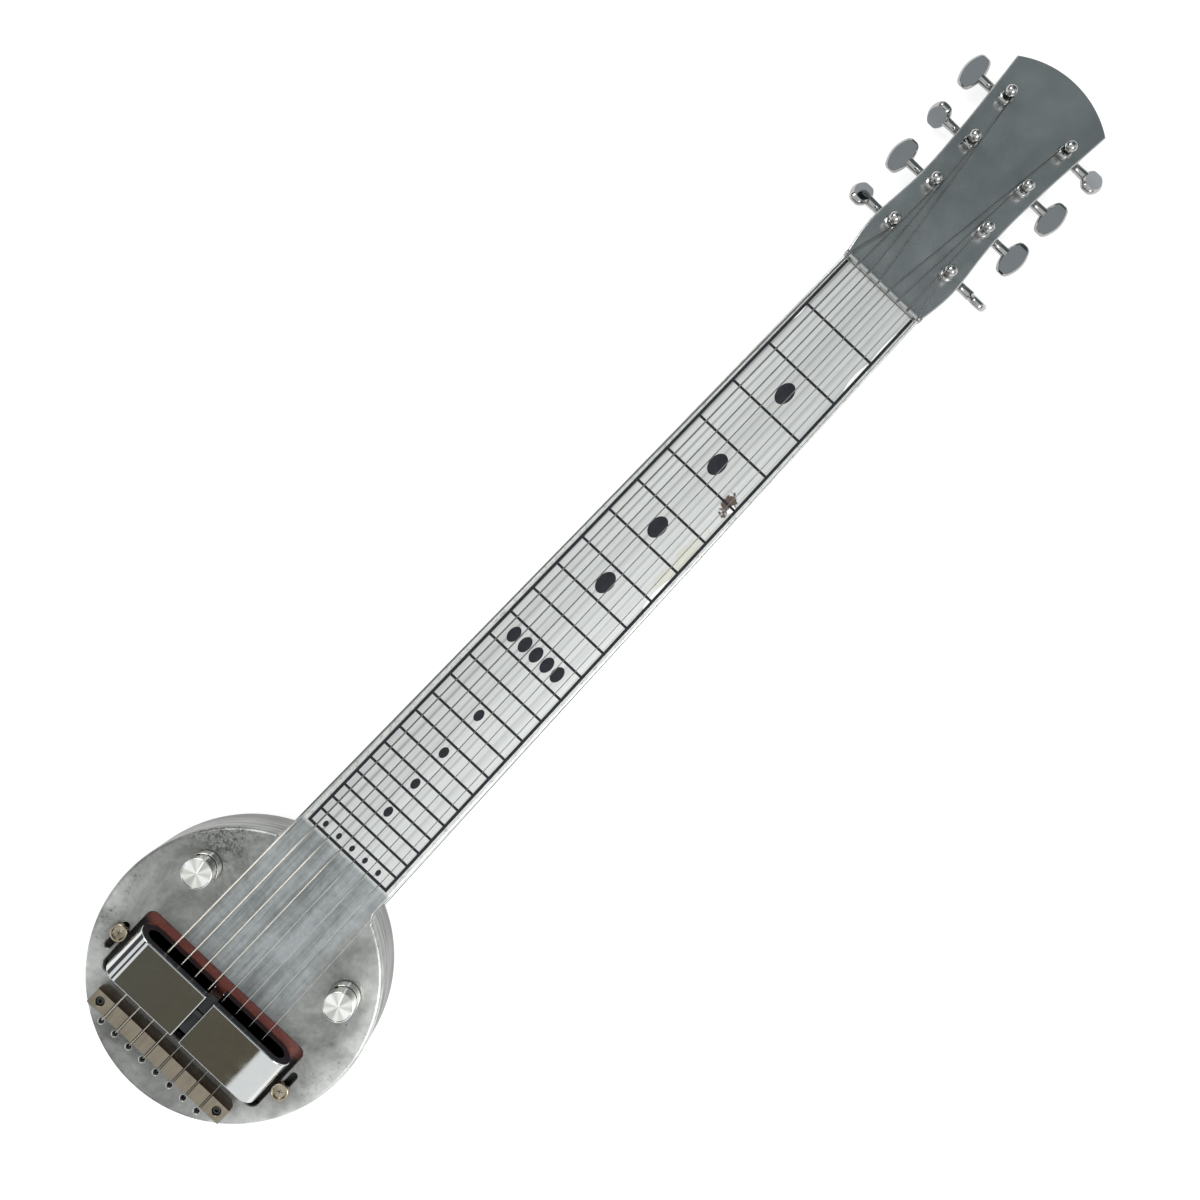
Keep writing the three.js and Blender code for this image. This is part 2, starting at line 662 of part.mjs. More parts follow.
function stringSolid(index) {
  const ball = bar(string.ballRadius, blockFoot, blockFoot + string.ballLength, facets.tiny);
  ball.translate(stringX(index, tail.pitch), tailY, 0);
  return join(wire(stringPoints(index), gauges[index] / 2, string.sides), ball);
}

// Tuning machines

function postSolid() {
  const wheelFoot = -tuner.shaftDepth - gear.thickness / 2;
  const profile = [
    [0, wheelFoot - fit.gap],
    [post.shankRadius, wheelFoot - fit.gap],
    [post.shankRadius, fit.gap],
    [post.flangeRadius, fit.gap],
    [post.flangeRadius, post.flangeHeight],
    [post.barrelRadius, post.flangeHeight],
    [post.barrelRadius, post.barrelTop],
    [post.waistRadius, post.waistFoot],
    [post.waistRadius, post.waistTop],
    [(post.waistRadius + post.domeRadius) / 2, post.domeFoot],
    ...arcPoints(0, post.domeBelly, post.domeRadius, -15, 60, facets.corner),
    [0, post.top],
  ];
  const wheel = outline(Array.from({ length: 2 * gear.teeth }, (_, i) => {
    const angle = (Math.PI * i) / gear.teeth;
    const radius = i % 2 ? gear.radius - gear.toothDepth : gear.radius;
    return [radius * Math.cos(angle), radius * Math.sin(angle)];
  }));
  return join(spun(profile, facets.tiny), raised(wheel, wheelFoot, wheelFoot + gear.thickness));
}

// The shaft lies along X, with the middle of the worm at x = 0 and the button at the far end.
function buttonSolid(turn) {
  const pitch = worm.length / worm.ridges;
  const thread = [[0, -worm.length / 2]];
  for (let i = 0; i < worm.ridges; i += 1) {
    const from = i * pitch - worm.length / 2;
    thread.push([worm.rootRadius, from], [worm.radius, from + pitch / 2]);
  }
  thread.push([worm.rootRadius, worm.length / 2], [0, worm.length / 2]);
  const shaftStart = -worm.length / 2 - bracket.earGap - bracket.wall - fit.gap;
  const buttonFoot = tuner.buttonReach - button.width / 2;
  const shaftEnd = buttonFoot + button.round;
  const shaft = bar(button.shaftRadius, shaftStart, shaftEnd, facets.tiny);
  const collarStart = buttonFoot - button.neckLength;
  const collar = bar(button.neckRadius, collarStart, shaftEnd, facets.tiny, button.neckTipRadius);
  const reach = button.length / 2 - button.round;
  const half = button.width / 2 - button.round;
  const end = button.endWidth / 2 - button.round;
  const barrel = new THREE.Shape();
  barrel.moveTo(reach, -end);
  barrel.lineTo(reach, end);
  barrel.quadraticCurveTo(0, 2 * half - end, -reach, end);
  barrel.lineTo(-reach, -end);
  barrel.quadraticCurveTo(0, end - 2 * half, reach, -end);
  const plate = new THREE.ExtrudeGeometry(barrel, {
    depth: button.thickness - 2 * button.round,
    bevelThickness: button.round,
    bevelSize: button.round,
    bevelSegments: 1,
    curveSegments: facets.tiny,
  });
  plate.translate(0, 0, button.round - button.thickness / 2).rotateX(Math.PI / 2);
  plate.rotateZ(THREE.MathUtils.degToRad(turn) + Math.PI / 2).translate(0, 0, tuner.buttonReach);
  return join(spun(thread, facets.tiny), shaft, collar, plate).rotateY(Math.PI / 2);
}

// A plate under the headstock whose two ears carry the worm shaft.
function bracketSolid() {
  const top = -head.thickness - fit.gap;
  const foot = top - bracket.wall;
  const earInner = worm.length / 2 + bracket.earGap;
  const earOuter = earInner + bracket.wall;
  const earHalf = button.shaftRadius + fit.gap + bracket.earMargin;
  const earFoot = -tuner.shaftDepth - earHalf;
  const near = wormOffset - earHalf;
  const far = wormOffset + earHalf;
  const boreEnd = earOuter + fit.overrun;
  const shaftBore = bar(button.shaftRadius + fit.gap, -boreEnd, boreEnd, facets.tiny);
  shaftBore.rotateY(Math.PI / 2).translate(0, wormOffset, -tuner.shaftDepth);
  const folded = join(
    block([-bracket.halfWidth, -bracket.behind, foot], [bracket.halfWidth, far, top]),
    block([-earOuter, near, earFoot], [-earInner, far, top - fit.gap]),
    block([earInner, near, earFoot], [earOuter, far, top - fit.gap]),
  );
  const postBore = bar(post.shankRadius + fit.gap, foot - fit.overrun, top + fit.overrun, facets.tiny);
  return cut(folded, shaftBore, postBore);
}

// Controls

function knobSolid() {
  const foot = deck + knob.lift;
  const grooveFoot = foot + knob.skirtHeight;
  const grooveTop = grooveFoot + knob.grooveHeight;
  const top = foot + knob.height;
  const floor = top - knob.dish;
  const turned = spun([
    [0, foot],
    [knob.skirtRadius, foot],
    [knob.skirtRadius, grooveFoot],
    [knob.grooveRadius, grooveFoot],
    [knob.grooveRadius, grooveTop],
    [knob.radius, grooveTop],
    [knob.topRadius, top - knob.rim],
    [knob.topRadius - knob.rim / 2, top],
    [knob.topRadius - knob.rim, top],
    [knob.topRadius - 2 * knob.rim, floor],
    [0, floor],
  ], facets.round);
  const nutRoomTop = deck + pot.nutHeight + 3 * fit.gap;
  const nutRoom = bar(pot.nutRadius + fit.gap, foot - fit.overrun, nutRoomTop, facets.round);
  const shaft = bar(pot.shaftRadius, deck - pot.shaftDrop, floor - fit.overrun, facets.small);
  const half = knob.line / 2;
  const mark = block(
    [-half, knob.topRadius - knob.lineLength, floor - knob.lineDepth],
    [half, knob.skirtRadius, top + fit.overrun]);
  const screwFloor = knob.radius - knob.setScrewDepth;
  const screwHole = bar(knob.setScrewRadius, screwFloor, knob.radius + fit.overrun, facets.tiny);
  screwHole.rotateX(-Math.PI / 2).rotateZ(THREE.MathUtils.degToRad(knob.setScrewBearing - 90));
  screwHole.translate(0, 0, foot + knob.setScrewHeight);
  return cut(join(cut(turned, nutRoom), shaft), mark, screwHole);
}

function potSolid() {
  const canTop = ceiling - fit.gap;
  const nutFoot = deck + fit.gap;
  const housing = spun([
    [0, canTop - pot.canHeight],
    [pot.canRadius, canTop - pot.canHeight],
    [pot.canRadius, canTop],
    [pot.bushRadius, canTop],
    [pot.bushRadius, nutFoot],
    [pot.nutRadius, nutFoot],
    [pot.nutRadius, nutFoot + pot.nutHeight],
    [0, nutFoot + pot.nutHeight],
  ], facets.round);
  return cut(housing, bar(pot.shaftRadius + fit.gap, deck - pot.shaftDrop - fit.gap, deck + knob.height));
}

// The capacitor hangs under the tone control.
function capacitorSolid() {
  const z = ceiling - pot.canHeight - 2 * fit.gap - capacitor.radius;
  const can = bar(capacitor.radius, -capacitor.length / 2, capacitor.length / 2);
  return can.rotateY(Math.PI / 2).translate(knobX, knobY, z);
}

// The jack lies along Y in the wall at the tail, with its bore opening to the outside.
function jackSolid() {
  const innerFace = Math.sqrt((cavityRadius * Math.cos(Math.PI / facets.body)) ** 2 - jack.sleeveRadius ** 2);
  const inside = innerFace - body.radius + jack.pocket - fit.gap;
  const mouth = fit.gap + jack.nutHeight;
  const socket = spun([
    [0, inside - jack.sleeveLength],
    [jack.sleeveRadius, inside - jack.sleeveLength],
    [jack.sleeveRadius, inside],
    [jack.bushRadius, inside],
    [jack.bushRadius, fit.gap],
    [jack.nutRadius, fit.gap],
    [jack.nutRadius, mouth],
    [jack.boreRadius, mouth],
    [jack.boreRadius, mouth - jack.boreDepth],
    [0, mouth - jack.boreDepth],
  ], facets.round);
  return socket.rotateX(Math.PI / 2).translate(0, jackWall, jack.z);
}

// Pickup

// A magnet bar bent into a lying U whose ends point at the centre line.
function horseshoe(side) {
  const inner = magnetRadius - magnet.thickness;
  const bendX = magnetReach - magnetRadius;
  const tip = magnet.gap / 2;
  const shape = new THREE.Shape();
  shape.moveTo(tip, -magnetRadius);
  shape.absarc(bendX, 0, magnetRadius, -Math.PI / 2, Math.PI / 2, false);
  shape.lineTo(tip, magnetRadius);
  shape.lineTo(tip, inner);
  shape.absarc(bendX, 0, inner, Math.PI / 2, -Math.PI / 2, true);
  shape.lineTo(tip, -inner);
  const bent = raised(shape, -magnet.width / 2, magnet.width / 2, facets.tiny).rotateX(Math.PI / 2);
  if (side < 0) bent.rotateZ(Math.PI);
  return bent.translate(0, magnetY, magnetFoot + magnetRadius);
}

function pickupScrewY(side) {
  return bridgeFront + (side < 0 ? pickupScrew.bassFromBridge : pickupScrew.trebleFromBridge);
}

function baseplateSolid() {
  const earY = (pickupScrewY(-1) + pickupScrewY(1)) / 2;
  const low = baseTop - baseplate.thickness;
  const half = openingHalf + baseplate.sideLap;
  const earReach = pickupScrewX + baseplate.earMargin;
  const main = roundedBox(-half, baseBack, half, baseFront, baseplate.corner);
  const ears = roundedBox(-earReach, earY - baseplate.earHalfLength,
    earReach, earY + baseplate.earHalfLength, baseplate.corner);
  const holes = [-1, 1].map((side) => {
    const hole = bar(pickupScrew.shankRadius + fit.gap, low - fit.overrun, baseTop + fit.overrun);
    return hole.translate(side * pickupScrewX, pickupScrewY(side), 0);
  });
  return cut(join(raised(main, low, baseTop), raised(ears, low, baseTop)), ...holes);
}

function pickupScrewSolid() {
  const foot = deck + fit.gap;
  const top = foot + pickupScrew.headHeight;
  const dishFloor = top - pickupScrew.rimDepth;
  const edge = pickupScrew.headRadius - pickupScrew.rimDepth;
  const dish = bar(pickupScrew.headRadius - pickupScrew.rimWidth, dishFloor, top + fit.overrun, facets.round);
  const half = pickupScrew.crossWidth / 2;
  const reach = pickupScrew.crossLength / 2;
  const low = dishFloor - pickupScrew.crossDepth;
  const screw = join(
    bar(pickupScrew.headRadius, foot, top, facets.round, edge),
    bar(pickupScrew.shankRadius, foot - pickupScrew.length, foot + fit.weld),
  );
  return cut(screw, dish, block([-half, -reach, low], [half, reach, top]),
    block([-reach, -half, low], [reach, half, top]));
}

function bobbinSolid() {
  const spool = join(
    stadium(bobbinHalf, bobbin.width, bobbinFoot, bobbinFoot + bobbin.flange),
    stadium(coreHalf, bobbin.coreWidth, bobbinFoot, bobbinTop),
    stadium(bobbinHalf, bobbin.width, bobbinTop - bobbin.flange, bobbinTop),
  );
  return cut(spool, stadium(poleHalf + fit.gap, pole.width + 2 * fit.gap,
    bobbinFoot - fit.overrun, bobbinTop + fit.overrun));
}

function coilSolid() {
  const low = bobbinFoot + bobbin.flange + fit.gap;
  const high = bobbinTop - bobbin.flange - fit.gap;
  const hole = stadium(coreHalf + fit.gap, bobbin.coreWidth + 2 * fit.gap,
    low - fit.overrun, high + fit.overrun);
  return cut(stadium(bobbinHalf - fit.gap, bobbin.width - 2 * fit.gap, low, high), hole);
}

// The guitar

const guitar = new THREE.Group();
const headGroup = new THREE.Group();
const pickup = new THREE.Group();
headGroup.applyMatrix4(headPlace);
pickup.position.y = magnetY;
guitar.add(headGroup, pickup);

guitar.add(mesh('body_casting', bodyCasting(), 'casting'));
guitar.add(mesh('back_cover', backCover(), 'casting'));
coverScrewPlaces().forEach(([x, y], i) => {
  const screw = mesh(`back_cover_screw_${i + 1}`, coverScrewSolid(), 'steel');
  screw.position.set(x, y, cover.recess);
  guitar.add(screw);
});
guitar.add(mesh('fretboard', fretboard(), 'board'));
guitar.add(mesh('nut', nutSolid(), 'steel'));
guitar.add(mesh('bridge', bridgeSolid(), 'nickel'));
guitar.add(mesh('tone_capacitor', capacitorSolid(), 'black'));
guitar.add(mesh('output_jack', jackSolid(), 'steel'));
guitar.add(mesh('pickup_baseplate', baseplateSolid(), 'fibre'));
pickup.add(mesh('pickup_bobbin', bobbinSolid(), 'black'));
pickup.add(mesh('pickup_coil', coilSolid(), 'copper'));
const poleBar = stadium(poleHalf, pole.width, bobbinFoot, bobbinTop + pole.rise);
pickup.add(mesh('pickup_pole_bar', poleBar, 'steel'));

for (const [name, side, control] of [['bass', -1, 'volume'], ['treble', 1, 'tone']]) {
  guitar.add(mesh(`magnet_${name}`, horseshoe(side), 'chrome'));
  const bridgeScrew = mesh(`bridge_screw_${name}`, bridgeScrewSolid(), 'steel');
  bridgeScrew.position.set(side * bridgeScrewX, bridgeScrewY, 0);
  const slideScrew = mesh(`pickup_screw_${name}`, pickupScrewSolid(), 'nickel');
  slideScrew.position.set(side * pickupScrewX, pickupScrewY(side), 0);
  const housing = mesh(`${control}_pot`, potSolid(), 'steel');
  housing.position.set(side * knobX, knobY, 0);
  const turn = THREE.MathUtils.degToRad(knobTurns[control]);
  const cap = mesh(`${control}_knob`, knobSolid().rotateZ(turn), 'chrome');
  cap.position.copy(housing.position);
  guitar.add(bridgeScrew, slideScrew, housing, cap);

  rowInsets.forEach((inset, row) => {
    const tag = `${name}_${row + 1}`;
    const windingPost = mesh(`tuner_post_${tag}`, postSolid(), 'chrome');
    windingPost.position.set(side * inset, rowPlace(row), 0);
    const carrier = mesh(`tuner_bracket_${tag}`, bracketSolid(), 'steel');
    carrier.position.copy(windingPost.position);
    const key = mesh(`tuner_button_${tag}`, buttonSolid(side * buttonTurns[name][row]), 'chrome');
    key.position.set(side * inset, rowPlace(row) + wormOffset, -tuner.shaftDepth);
    if (side < 0) key.rotation.z = Math.PI;
    headGroup.add(windingPost, carrier, key);
  });
}

gauges.forEach((gauge, i) => {
  guitar.add(mesh(`string_${i + 1}`, stringSolid(i), i < stringCount / 2 ? 'bronze' : 'steel'));
  const gap = leastGap(windingPoints(i), gauge / 2).toFixed(2);
  console.log(`string_${i + 1}: ${windingOf(i).turns} turns, least gap between them ${gap} mm`);
});

const tailEnd = bodyY - body.radius;
const headEnd = onHead(0, head.length, 0).y;
guitar.position.y = -(tailEnd + headEnd) / 2;

export default guitar;
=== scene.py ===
"""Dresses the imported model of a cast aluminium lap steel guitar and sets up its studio."""

import math
from types import SimpleNamespace

import bmesh
import bpy
import numpy as np
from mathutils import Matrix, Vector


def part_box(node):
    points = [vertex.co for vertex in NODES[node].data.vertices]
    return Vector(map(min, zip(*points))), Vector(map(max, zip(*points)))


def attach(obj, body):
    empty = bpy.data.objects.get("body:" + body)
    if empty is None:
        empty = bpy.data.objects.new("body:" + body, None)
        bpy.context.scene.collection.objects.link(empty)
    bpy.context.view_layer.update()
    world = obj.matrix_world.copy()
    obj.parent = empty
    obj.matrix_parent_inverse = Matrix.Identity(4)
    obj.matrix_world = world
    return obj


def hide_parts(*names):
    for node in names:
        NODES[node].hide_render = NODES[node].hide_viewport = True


bl_info = {
    "name": "Lap Steel Guitar",
    "version": (1, 0, 0),
    "blender": (4, 5, 0),
    "location": "View3D > Sidebar > Lap Steel",
    "description": "Builds the fine surfaces and finishes of a cast lap steel guitar",
    "category": "Add Mesh",
}

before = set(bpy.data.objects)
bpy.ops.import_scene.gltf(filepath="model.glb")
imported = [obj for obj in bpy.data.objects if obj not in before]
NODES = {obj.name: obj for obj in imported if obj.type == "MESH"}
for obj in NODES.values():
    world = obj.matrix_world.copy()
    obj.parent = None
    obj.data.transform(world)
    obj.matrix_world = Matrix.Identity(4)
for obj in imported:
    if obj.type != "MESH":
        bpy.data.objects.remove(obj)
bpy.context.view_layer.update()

# The shapes are worked out in millimetres, along the same axes as the frame.
MM = 0.001
RATIO = 2 ** (1 / 12)
SIDES = {"bass": -1, "treble": 1}
STRINGS = 8


def box_mm(node):
    """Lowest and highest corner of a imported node, in millimetres."""
    low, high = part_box(node)
    return np.array(low) / MM, np.array(high) / MM


def under(node):
    """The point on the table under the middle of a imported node, in millimetres."""
    x, y, _ = np.mean(box_mm(node), axis=0)
    return np.array([x, y, 0.0])


def levels_of(node):
    """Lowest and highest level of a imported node, in millimetres."""
    low, high = box_mm(node)
    return low[2], high[2]


def length(name, description, millimetres):
    """A length that the user can change, kept by Blender in metres."""
    return bpy.props.FloatProperty(
        name=name, description=description, default=millimetres * MM, unit="LENGTH", precision=5)


def angle(name, description, degrees):
    return bpy.props.FloatProperty(
        name=name, description=description, default=math.radians(degrees), subtype="ANGLE")


def colour(name, description, red, green, blue):
    return bpy.props.FloatVectorProperty(
        name=name, description=description, default=(red, green, blue), size=3, subtype="COLOR",
        min=0, max=1)


def read(context, key):
    """The values of one property group, with its lengths in millimetres."""
    group = getattr(context.scene, key)
    kinds = group.bl_rna.properties
    values = {name: getattr(group, name) for name in group.__annotations__}
    for name, value in values.items():
        if kinds[name].unit == "LENGTH":
            values[name] = round(value / MM, 4)
        elif kinds[name].subtype == "COLOR":
            values[name] = (*value, 1.0)
    return SimpleNamespace(**values)


DECK = box_mm("body_casting")[1][2]
TAIL_END = box_mm("body_casting")[0][1]
BODY_RADIUS = 83
BODY_Y = TAIL_END + BODY_RADIUS
# Size of the strings' ball ends, and the level of the casting's thick part that they press against
BALL_RADIUS, BALL_HEIGHT, BLOCK_FOOT = 1.9, 3.2, 29
TAIL_HOLE_Y = box_mm("string_1")[0][1] + BALL_RADIUS
NUT_PITCH, BRIDGE_PITCH, TAIL_PITCH = 7.47, 10.26, 10.4
# How far the posts of each row stand from the middle of the headstock
ROW_INSETS = (21.2, 19.6, 20.1, 22.6)
# The scale is counted from this far ahead of the nut, and the headstock bends this far behind that.
NUT_LEAD, BEND_LEAD = 1.5, 3
SCALE_START = box_mm("nut")[0][1] - NUT_LEAD
HEAD_BEND = SCALE_START + BEND_LEAD
# Places that the finishes change at, in metres: the end of the fretboard and the front of the
# pickup's opening along Y, and the edge of the deck along Z.
BOARD_END, PICKUP_FRONT, DECK_EDGE = -0.2095, -0.31, 0.0385


class BodySizes(bpy.types.PropertyGroup):
    """Sizes of the cast body, neck and headstock."""

    radius: length("Radius", "Radius of the round body", 82.85)
    top_edge: length("Top edge", "Rounding of the front edge of the body", 2.2)
    back_edge: length("Back edge", "Rounding of the back edge of the body", 12)
    wall: length("Wall", "Thickness of the walls", 4)
    cover_radius: length("Cover radius", "Radius of the back cover", 66)
    cover_depth: length("Cover depth", "How deep the seat of the back cover lies", 3.3)
    ledge: length("Ledge", "Width of the ledge that carries the cover", 10)
    lip: length("Lip", "Thickness of that ledge", 3.2)
    neck_at_nut: length("Neck at nut", "Width of the neck at the nut", 56)
    neck_at_body: length("Neck at body", "Width of the neck at the body", 67)
    neck_depth_nut: length("Depth at nut", "Depth of the neck at the nut", 20)
    neck_depth_body: length("Depth at body", "Depth of the neck at the body", 26)
    neck_side: length("Neck side", "Height of the straight side of the neck", 6)
    neck_edge: length("Neck edge", "Rounding of the front edges of the neck", 1.5)
    flare: length("Flare", "Radius of the fillet where the neck meets the body", 6)
    heel: length("Heel", "How far the neck reaches into the body", 7)
    volute: length("Volute", "Length over which the neck thins under the headstock", 20)
    head_thickness: length("Headstock", "Thickness of the headstock", 12)
    head_tilt: angle("Tilt", "How far the headstock leans back", 4)
    head_length: length("Headstock length", "Length of the headstock", 162.2)


class PlateSizes(bpy.types.PropertyGroup):
    """Sizes of the fretboard plate, the nut and the bridge."""

    scale: length("Scale", "Length of the scale", 571.5)
    frets: bpy.props.IntProperty(name="Frets", description="Number of frets", default=24)
    width_at_nut: length("Width at nut", "Width of the plate at the nut", 50.8)
    width_at_body: length("Width at body", "Width of the plate at the body", 60)
    border: length("Border", "Width of the black border", 1.9)
    fret_line: length("Fret line", "Width of a fret line", 1.5)
    enamel: length("Enamel", "How far the enamel lines stand on the plate", 0.05)
    nut_pitch: length("Nut pitch", "Distance between strings at the nut", NUT_PITCH)
    bridge_pitch: length("Bridge pitch", "Distance between strings at the bridge", BRIDGE_PITCH)
    tail_pitch: length("Tail pitch", "Distance between the holes behind the bridge", TAIL_PITCH)
    notch: length("Notch", "Depth of a string's notch", 0.8)


class TunerSizes(bpy.types.PropertyGroup):
    """Sizes of the tuning machines."""

    first_row: length("First row", "Distance of the first posts from the bend", 30.5)
    pitch: length("Row pitch", "Distance between rows of posts", 32.6)
    shaft_depth: length("Shaft depth", "Depth of the worm shafts under the headstock's face", 19)
    reach: length("Reach", "Distance from the worm to the middle of the button", 24)
    button_length: length("Button length", "Long size of a button", 21.8)
    button_width: length("Button width", "Short size of a button", 13.4)
    button_thickness: length("Button thickness", "Thickness of a button", 5.2)


class ControlSizes(bpy.types.PropertyGroup):
    """Sizes of the two knobs."""

    skirt: length("Skirt", "Radius of the knob's skirt", 9.1)
    radius: length("Radius", "Radius of the knob at its foot", 8.7)
    top_radius: length("Top radius", "Radius of the knob at its top", 8.5)
    height: length("Height", "Height of the knob", 14)
    dish: length("Dish", "How far the knob's top is hollowed", 0.4)


class PickupSizes(bpy.types.PropertyGroup):
    """Sizes of the pickup."""

    window: length("Window", "Length of the opening along the strings", 43.1)
    window_corner: length("Window corner", "Rounding of the corners of the opening", 4.4)
    magnet_thickness: length("Magnet thickness", "Thickness of the bent magnet bars", 5.5)
    magnet_round: length("Magnet edge", "Rounding of the magnets' edges", 0.7)
    slot_width: length("Slot width", "Width of the slots for the clamping screws", 4)
    slot_length: length("Slot length", "Length of those slots", 18.3)
    flange: length("Flange", "Thickness of the bobbin's flanges", 1.1)


class Finishes(bpy.types.PropertyGroup):
    """Colours of the finishes."""

    cast: colour("Casting", "Cast aluminium of the body", 0.33, 0.335, 0.322)
    cast_dark: colour("Casting, dark", "Oxidised patches of the casting", 0.15, 0.151, 0.144)
    cast_streak: colour("Casting, streaks", "Bluish brushed streaks under the strings", 0.37, 0.395, 0.4)
    head: colour("Headstock", "Satin face of the headstock", 0.45, 0.465, 0.455)
    board: colour("Board", "Silver paint of the fretboard plate", 0.57, 0.58, 0.565)
    enamel: colour("Enamel", "Black lines and marks", 0.012, 0.013, 0.016)
    chrome: colour("Chrome", "Plated posts, buttons and magnets", 0.72, 0.73, 0.72)
    worn_chrome: colour("Worn chrome", "Plating of the tuning machines", 0.42, 0.42, 0.41)
    # Painted reflection: a darker copy of the chrome for the buttons' flat faces.
    painted_dark: colour("Chrome painted dark", "Dark faces of the tuning buttons", 0.2, 0.215, 0.225)
    turned: colour("Turned", "Turned aluminium of the knobs", 0.94, 0.94, 0.88)
    nickel: colour("Nickel", "Aged nickel of the bridge", 0.32, 0.28, 0.215)
    steel: colour("Steel", "Steel of the nut, the screws and the jack", 0.55, 0.56, 0.55)
    wound: colour("Wound wire", "Wrapped bass strings", 0.84, 0.79, 0.7)
    wire: colour("Plain wire", "Plain treble strings", 0.6, 0.6, 0.57)
    copper: colour("Copper", "Wire of the pickup's coil", 0.2, 0.08, 0.04)
    fibre: colour("Fibre", "Red-brown base plate of the pickup", 0.12, 0.026, 0.017)
    black: colour("Black", "Black plastic", 0.02, 0.022, 0.026)


class StudioSizes(bpy.types.PropertyGroup):
    """Where the camera stands and how bright the studio is."""

    across: length("Across", "Place of the camera across the guitar", -4.5)
    along: length("Along", "Place of the camera along the guitar", 55.4)
    height: length("Height", "Height of the lens over the table", 741.5)
    lens: bpy.props.FloatProperty(
        name="Focal length", description="Focal length in millimetres on a 36 mm sensor", default=37.855)
    turn: angle("Turn", "Turn of the camera over the guitar", 43.3)
    shift_x: bpy.props.FloatProperty(name="Shift X", description="Sideways shift", default=-0.0573)
    shift_y: bpy.props.FloatProperty(name="Shift Y", description="Upward shift", default=-0.0815)
    ceiling: colour("Ceiling", "Soft light from above", 0.94, 0.96, 0.97)
    dark_panel: colour("Dark panel", "Panel that the magnets mirror", 0.122, 0.119, 0.095)
    slate_panel: colour("Slate panel", "Panel that the headstock mirrors", 0.165, 0.2, 0.215)
    wall: colour("Wall", "Walls that the rounded chrome mirrors", 0.075, 0.08, 0.085)
    lamp: bpy.props.FloatProperty(
        name="Lamp", description="Power of each soft lamp in watts", default=9.0)


GROUPS = {
    "guitar_body": BodySizes,
    "guitar_plate": PlateSizes,
    "guitar_tuners": TunerSizes,
    "guitar_controls": ControlSizes,
    "guitar_pickup": PickupSizes,
    "guitar_finishes": Finishes,
    "guitar_studio": StudioSizes,
}


# Curves and outlines


def arc(centre, radius, start, stop, steps):
    """Points of an arc between two angles in degrees."""
    turn = np.radians(np.linspace(start, stop, steps + 1))
    return np.stack([centre[0] + radius * np.cos(turn), centre[1] + radius * np.sin(turn)], axis=-1)


def filleted(corners, radii, steps=6):
    """A closed outline whose corners are arcs that touch both neighbouring sides."""
    corners = np.asarray(corners, float)
    pieces = []
    for before, corner, after, radius in zip(
            np.roll(corners, 1, 0), corners, np.roll(corners, -1, 0), radii):
        if radius == 0:
            pieces.append(corner[None])
            continue
        back = (before - corner) / np.linalg.norm(before - corner)
        ahead = (after - corner) / np.linalg.norm(after - corner)
        half = math.acos(np.clip(back @ ahead, -1, 1)) / 2
        middle = (back + ahead) / np.linalg.norm(back + ahead)
        centre = corner + middle * radius / math.sin(half)
        first = corner + back * radius / math.tan(half) - centre
        last = corner + ahead * radius / math.tan(half) - centre
        sweep = math.atan2(first[0] * last[1] - first[1] * last[0], first @ last)
        turn = np.linspace(0, sweep, steps + 1)[:, None]
        pieces.append(centre + np.cos(turn) * first + np.sin(turn) * np.array([-first[1], first[0]]))
    return np.vstack(pieces)


def curve_through(points, steps):
    """A smooth curve through points: each stretch is a cubic whose slope at either end is half
    the chord between that point's neighbours."""
    points = np.asarray(points, float)
    padded = np.vstack([points[:1], points, points[-1:]])
    p0, p1, p2, p3 = (padded[i:len(padded) - 3 + i, None] for i in range(4))
    t = np.linspace(0, 1, steps, endpoint=False)[None, :, None]
    curve = (2 * p1 + (p2 - p0) * t + (2 * p0 - 5 * p1 + 4 * p2 - p3) * t ** 2
             + (3 * p1 - p0 - 3 * p2 + p3) * t ** 3) / 2
    return np.vstack([curve.reshape(-1, points.shape[1]), points[-1:]])


def inset(outline, distance):
    """A closed outline moved inwards by a distance along its mitred corner normals."""
    ahead = np.roll(outline, -1, 0) - outline
    ahead /= np.linalg.norm(ahead, axis=1, keepdims=True)
    normal = np.stack([ahead[:, 1], -ahead[:, 0]], axis=-1)
    pair = normal + np.roll(normal, 1, 0)
    next_x, next_y = np.roll(outline, -1, 0).T
    area = np.sum(outline[:, 0] * next_y - outline[:, 1] * next_x)
    mitre = 2 * pair / np.sum(pair * pair, axis=1, keepdims=True)
    return outline - np.sign(area) * distance * mitre


def rectangle(half_x, half_y, radius, steps=6):
    corners = [(half_x, -half_y), (half_x, half_y), (-half_x, half_y), (-half_x, -half_y)]
    return filleted(corners, [radius] * 4, steps)


def stadium(half_length, half_width, steps=16):
    """A bar outline along X with half-round ends."""
    reach = half_length - half_width
    return np.vstack([
        arc((reach, 0), half_width, -90, 90, steps),
        arc((-reach, 0), half_width, 90, 270, steps),
    ])


def eased(low, high, edge, steps=4):
    """Levels of a slab whose two rims are quarter arcs: pairs of inset and height."""
    turn = np.radians(np.linspace(0, 90, steps + 1))
    foot = np.stack([edge * (1 - np.sin(turn)), low + edge * (1 - np.cos(turn))], axis=-1)
    return np.vstack([foot, np.stack([foot[::-1, 0], low + high - foot[::-1, 1]], axis=-1)])


# Shells: a shell is an array of points in millimetres and a list of faces


def grid_faces(rows, columns):
    """Four-sided faces between neighbouring points of a grid whose rows close on themselves."""
    row, column = np.meshgrid(np.arange(rows - 1), np.arange(columns), indexing="ij")
    next_column = (column + 1) % columns
    corners = [row * columns + column, row * columns + next_column,
               (row + 1) * columns + next_column, (row + 1) * columns + column]
    return np.stack(corners, axis=-1).reshape(-1, 4).tolist()


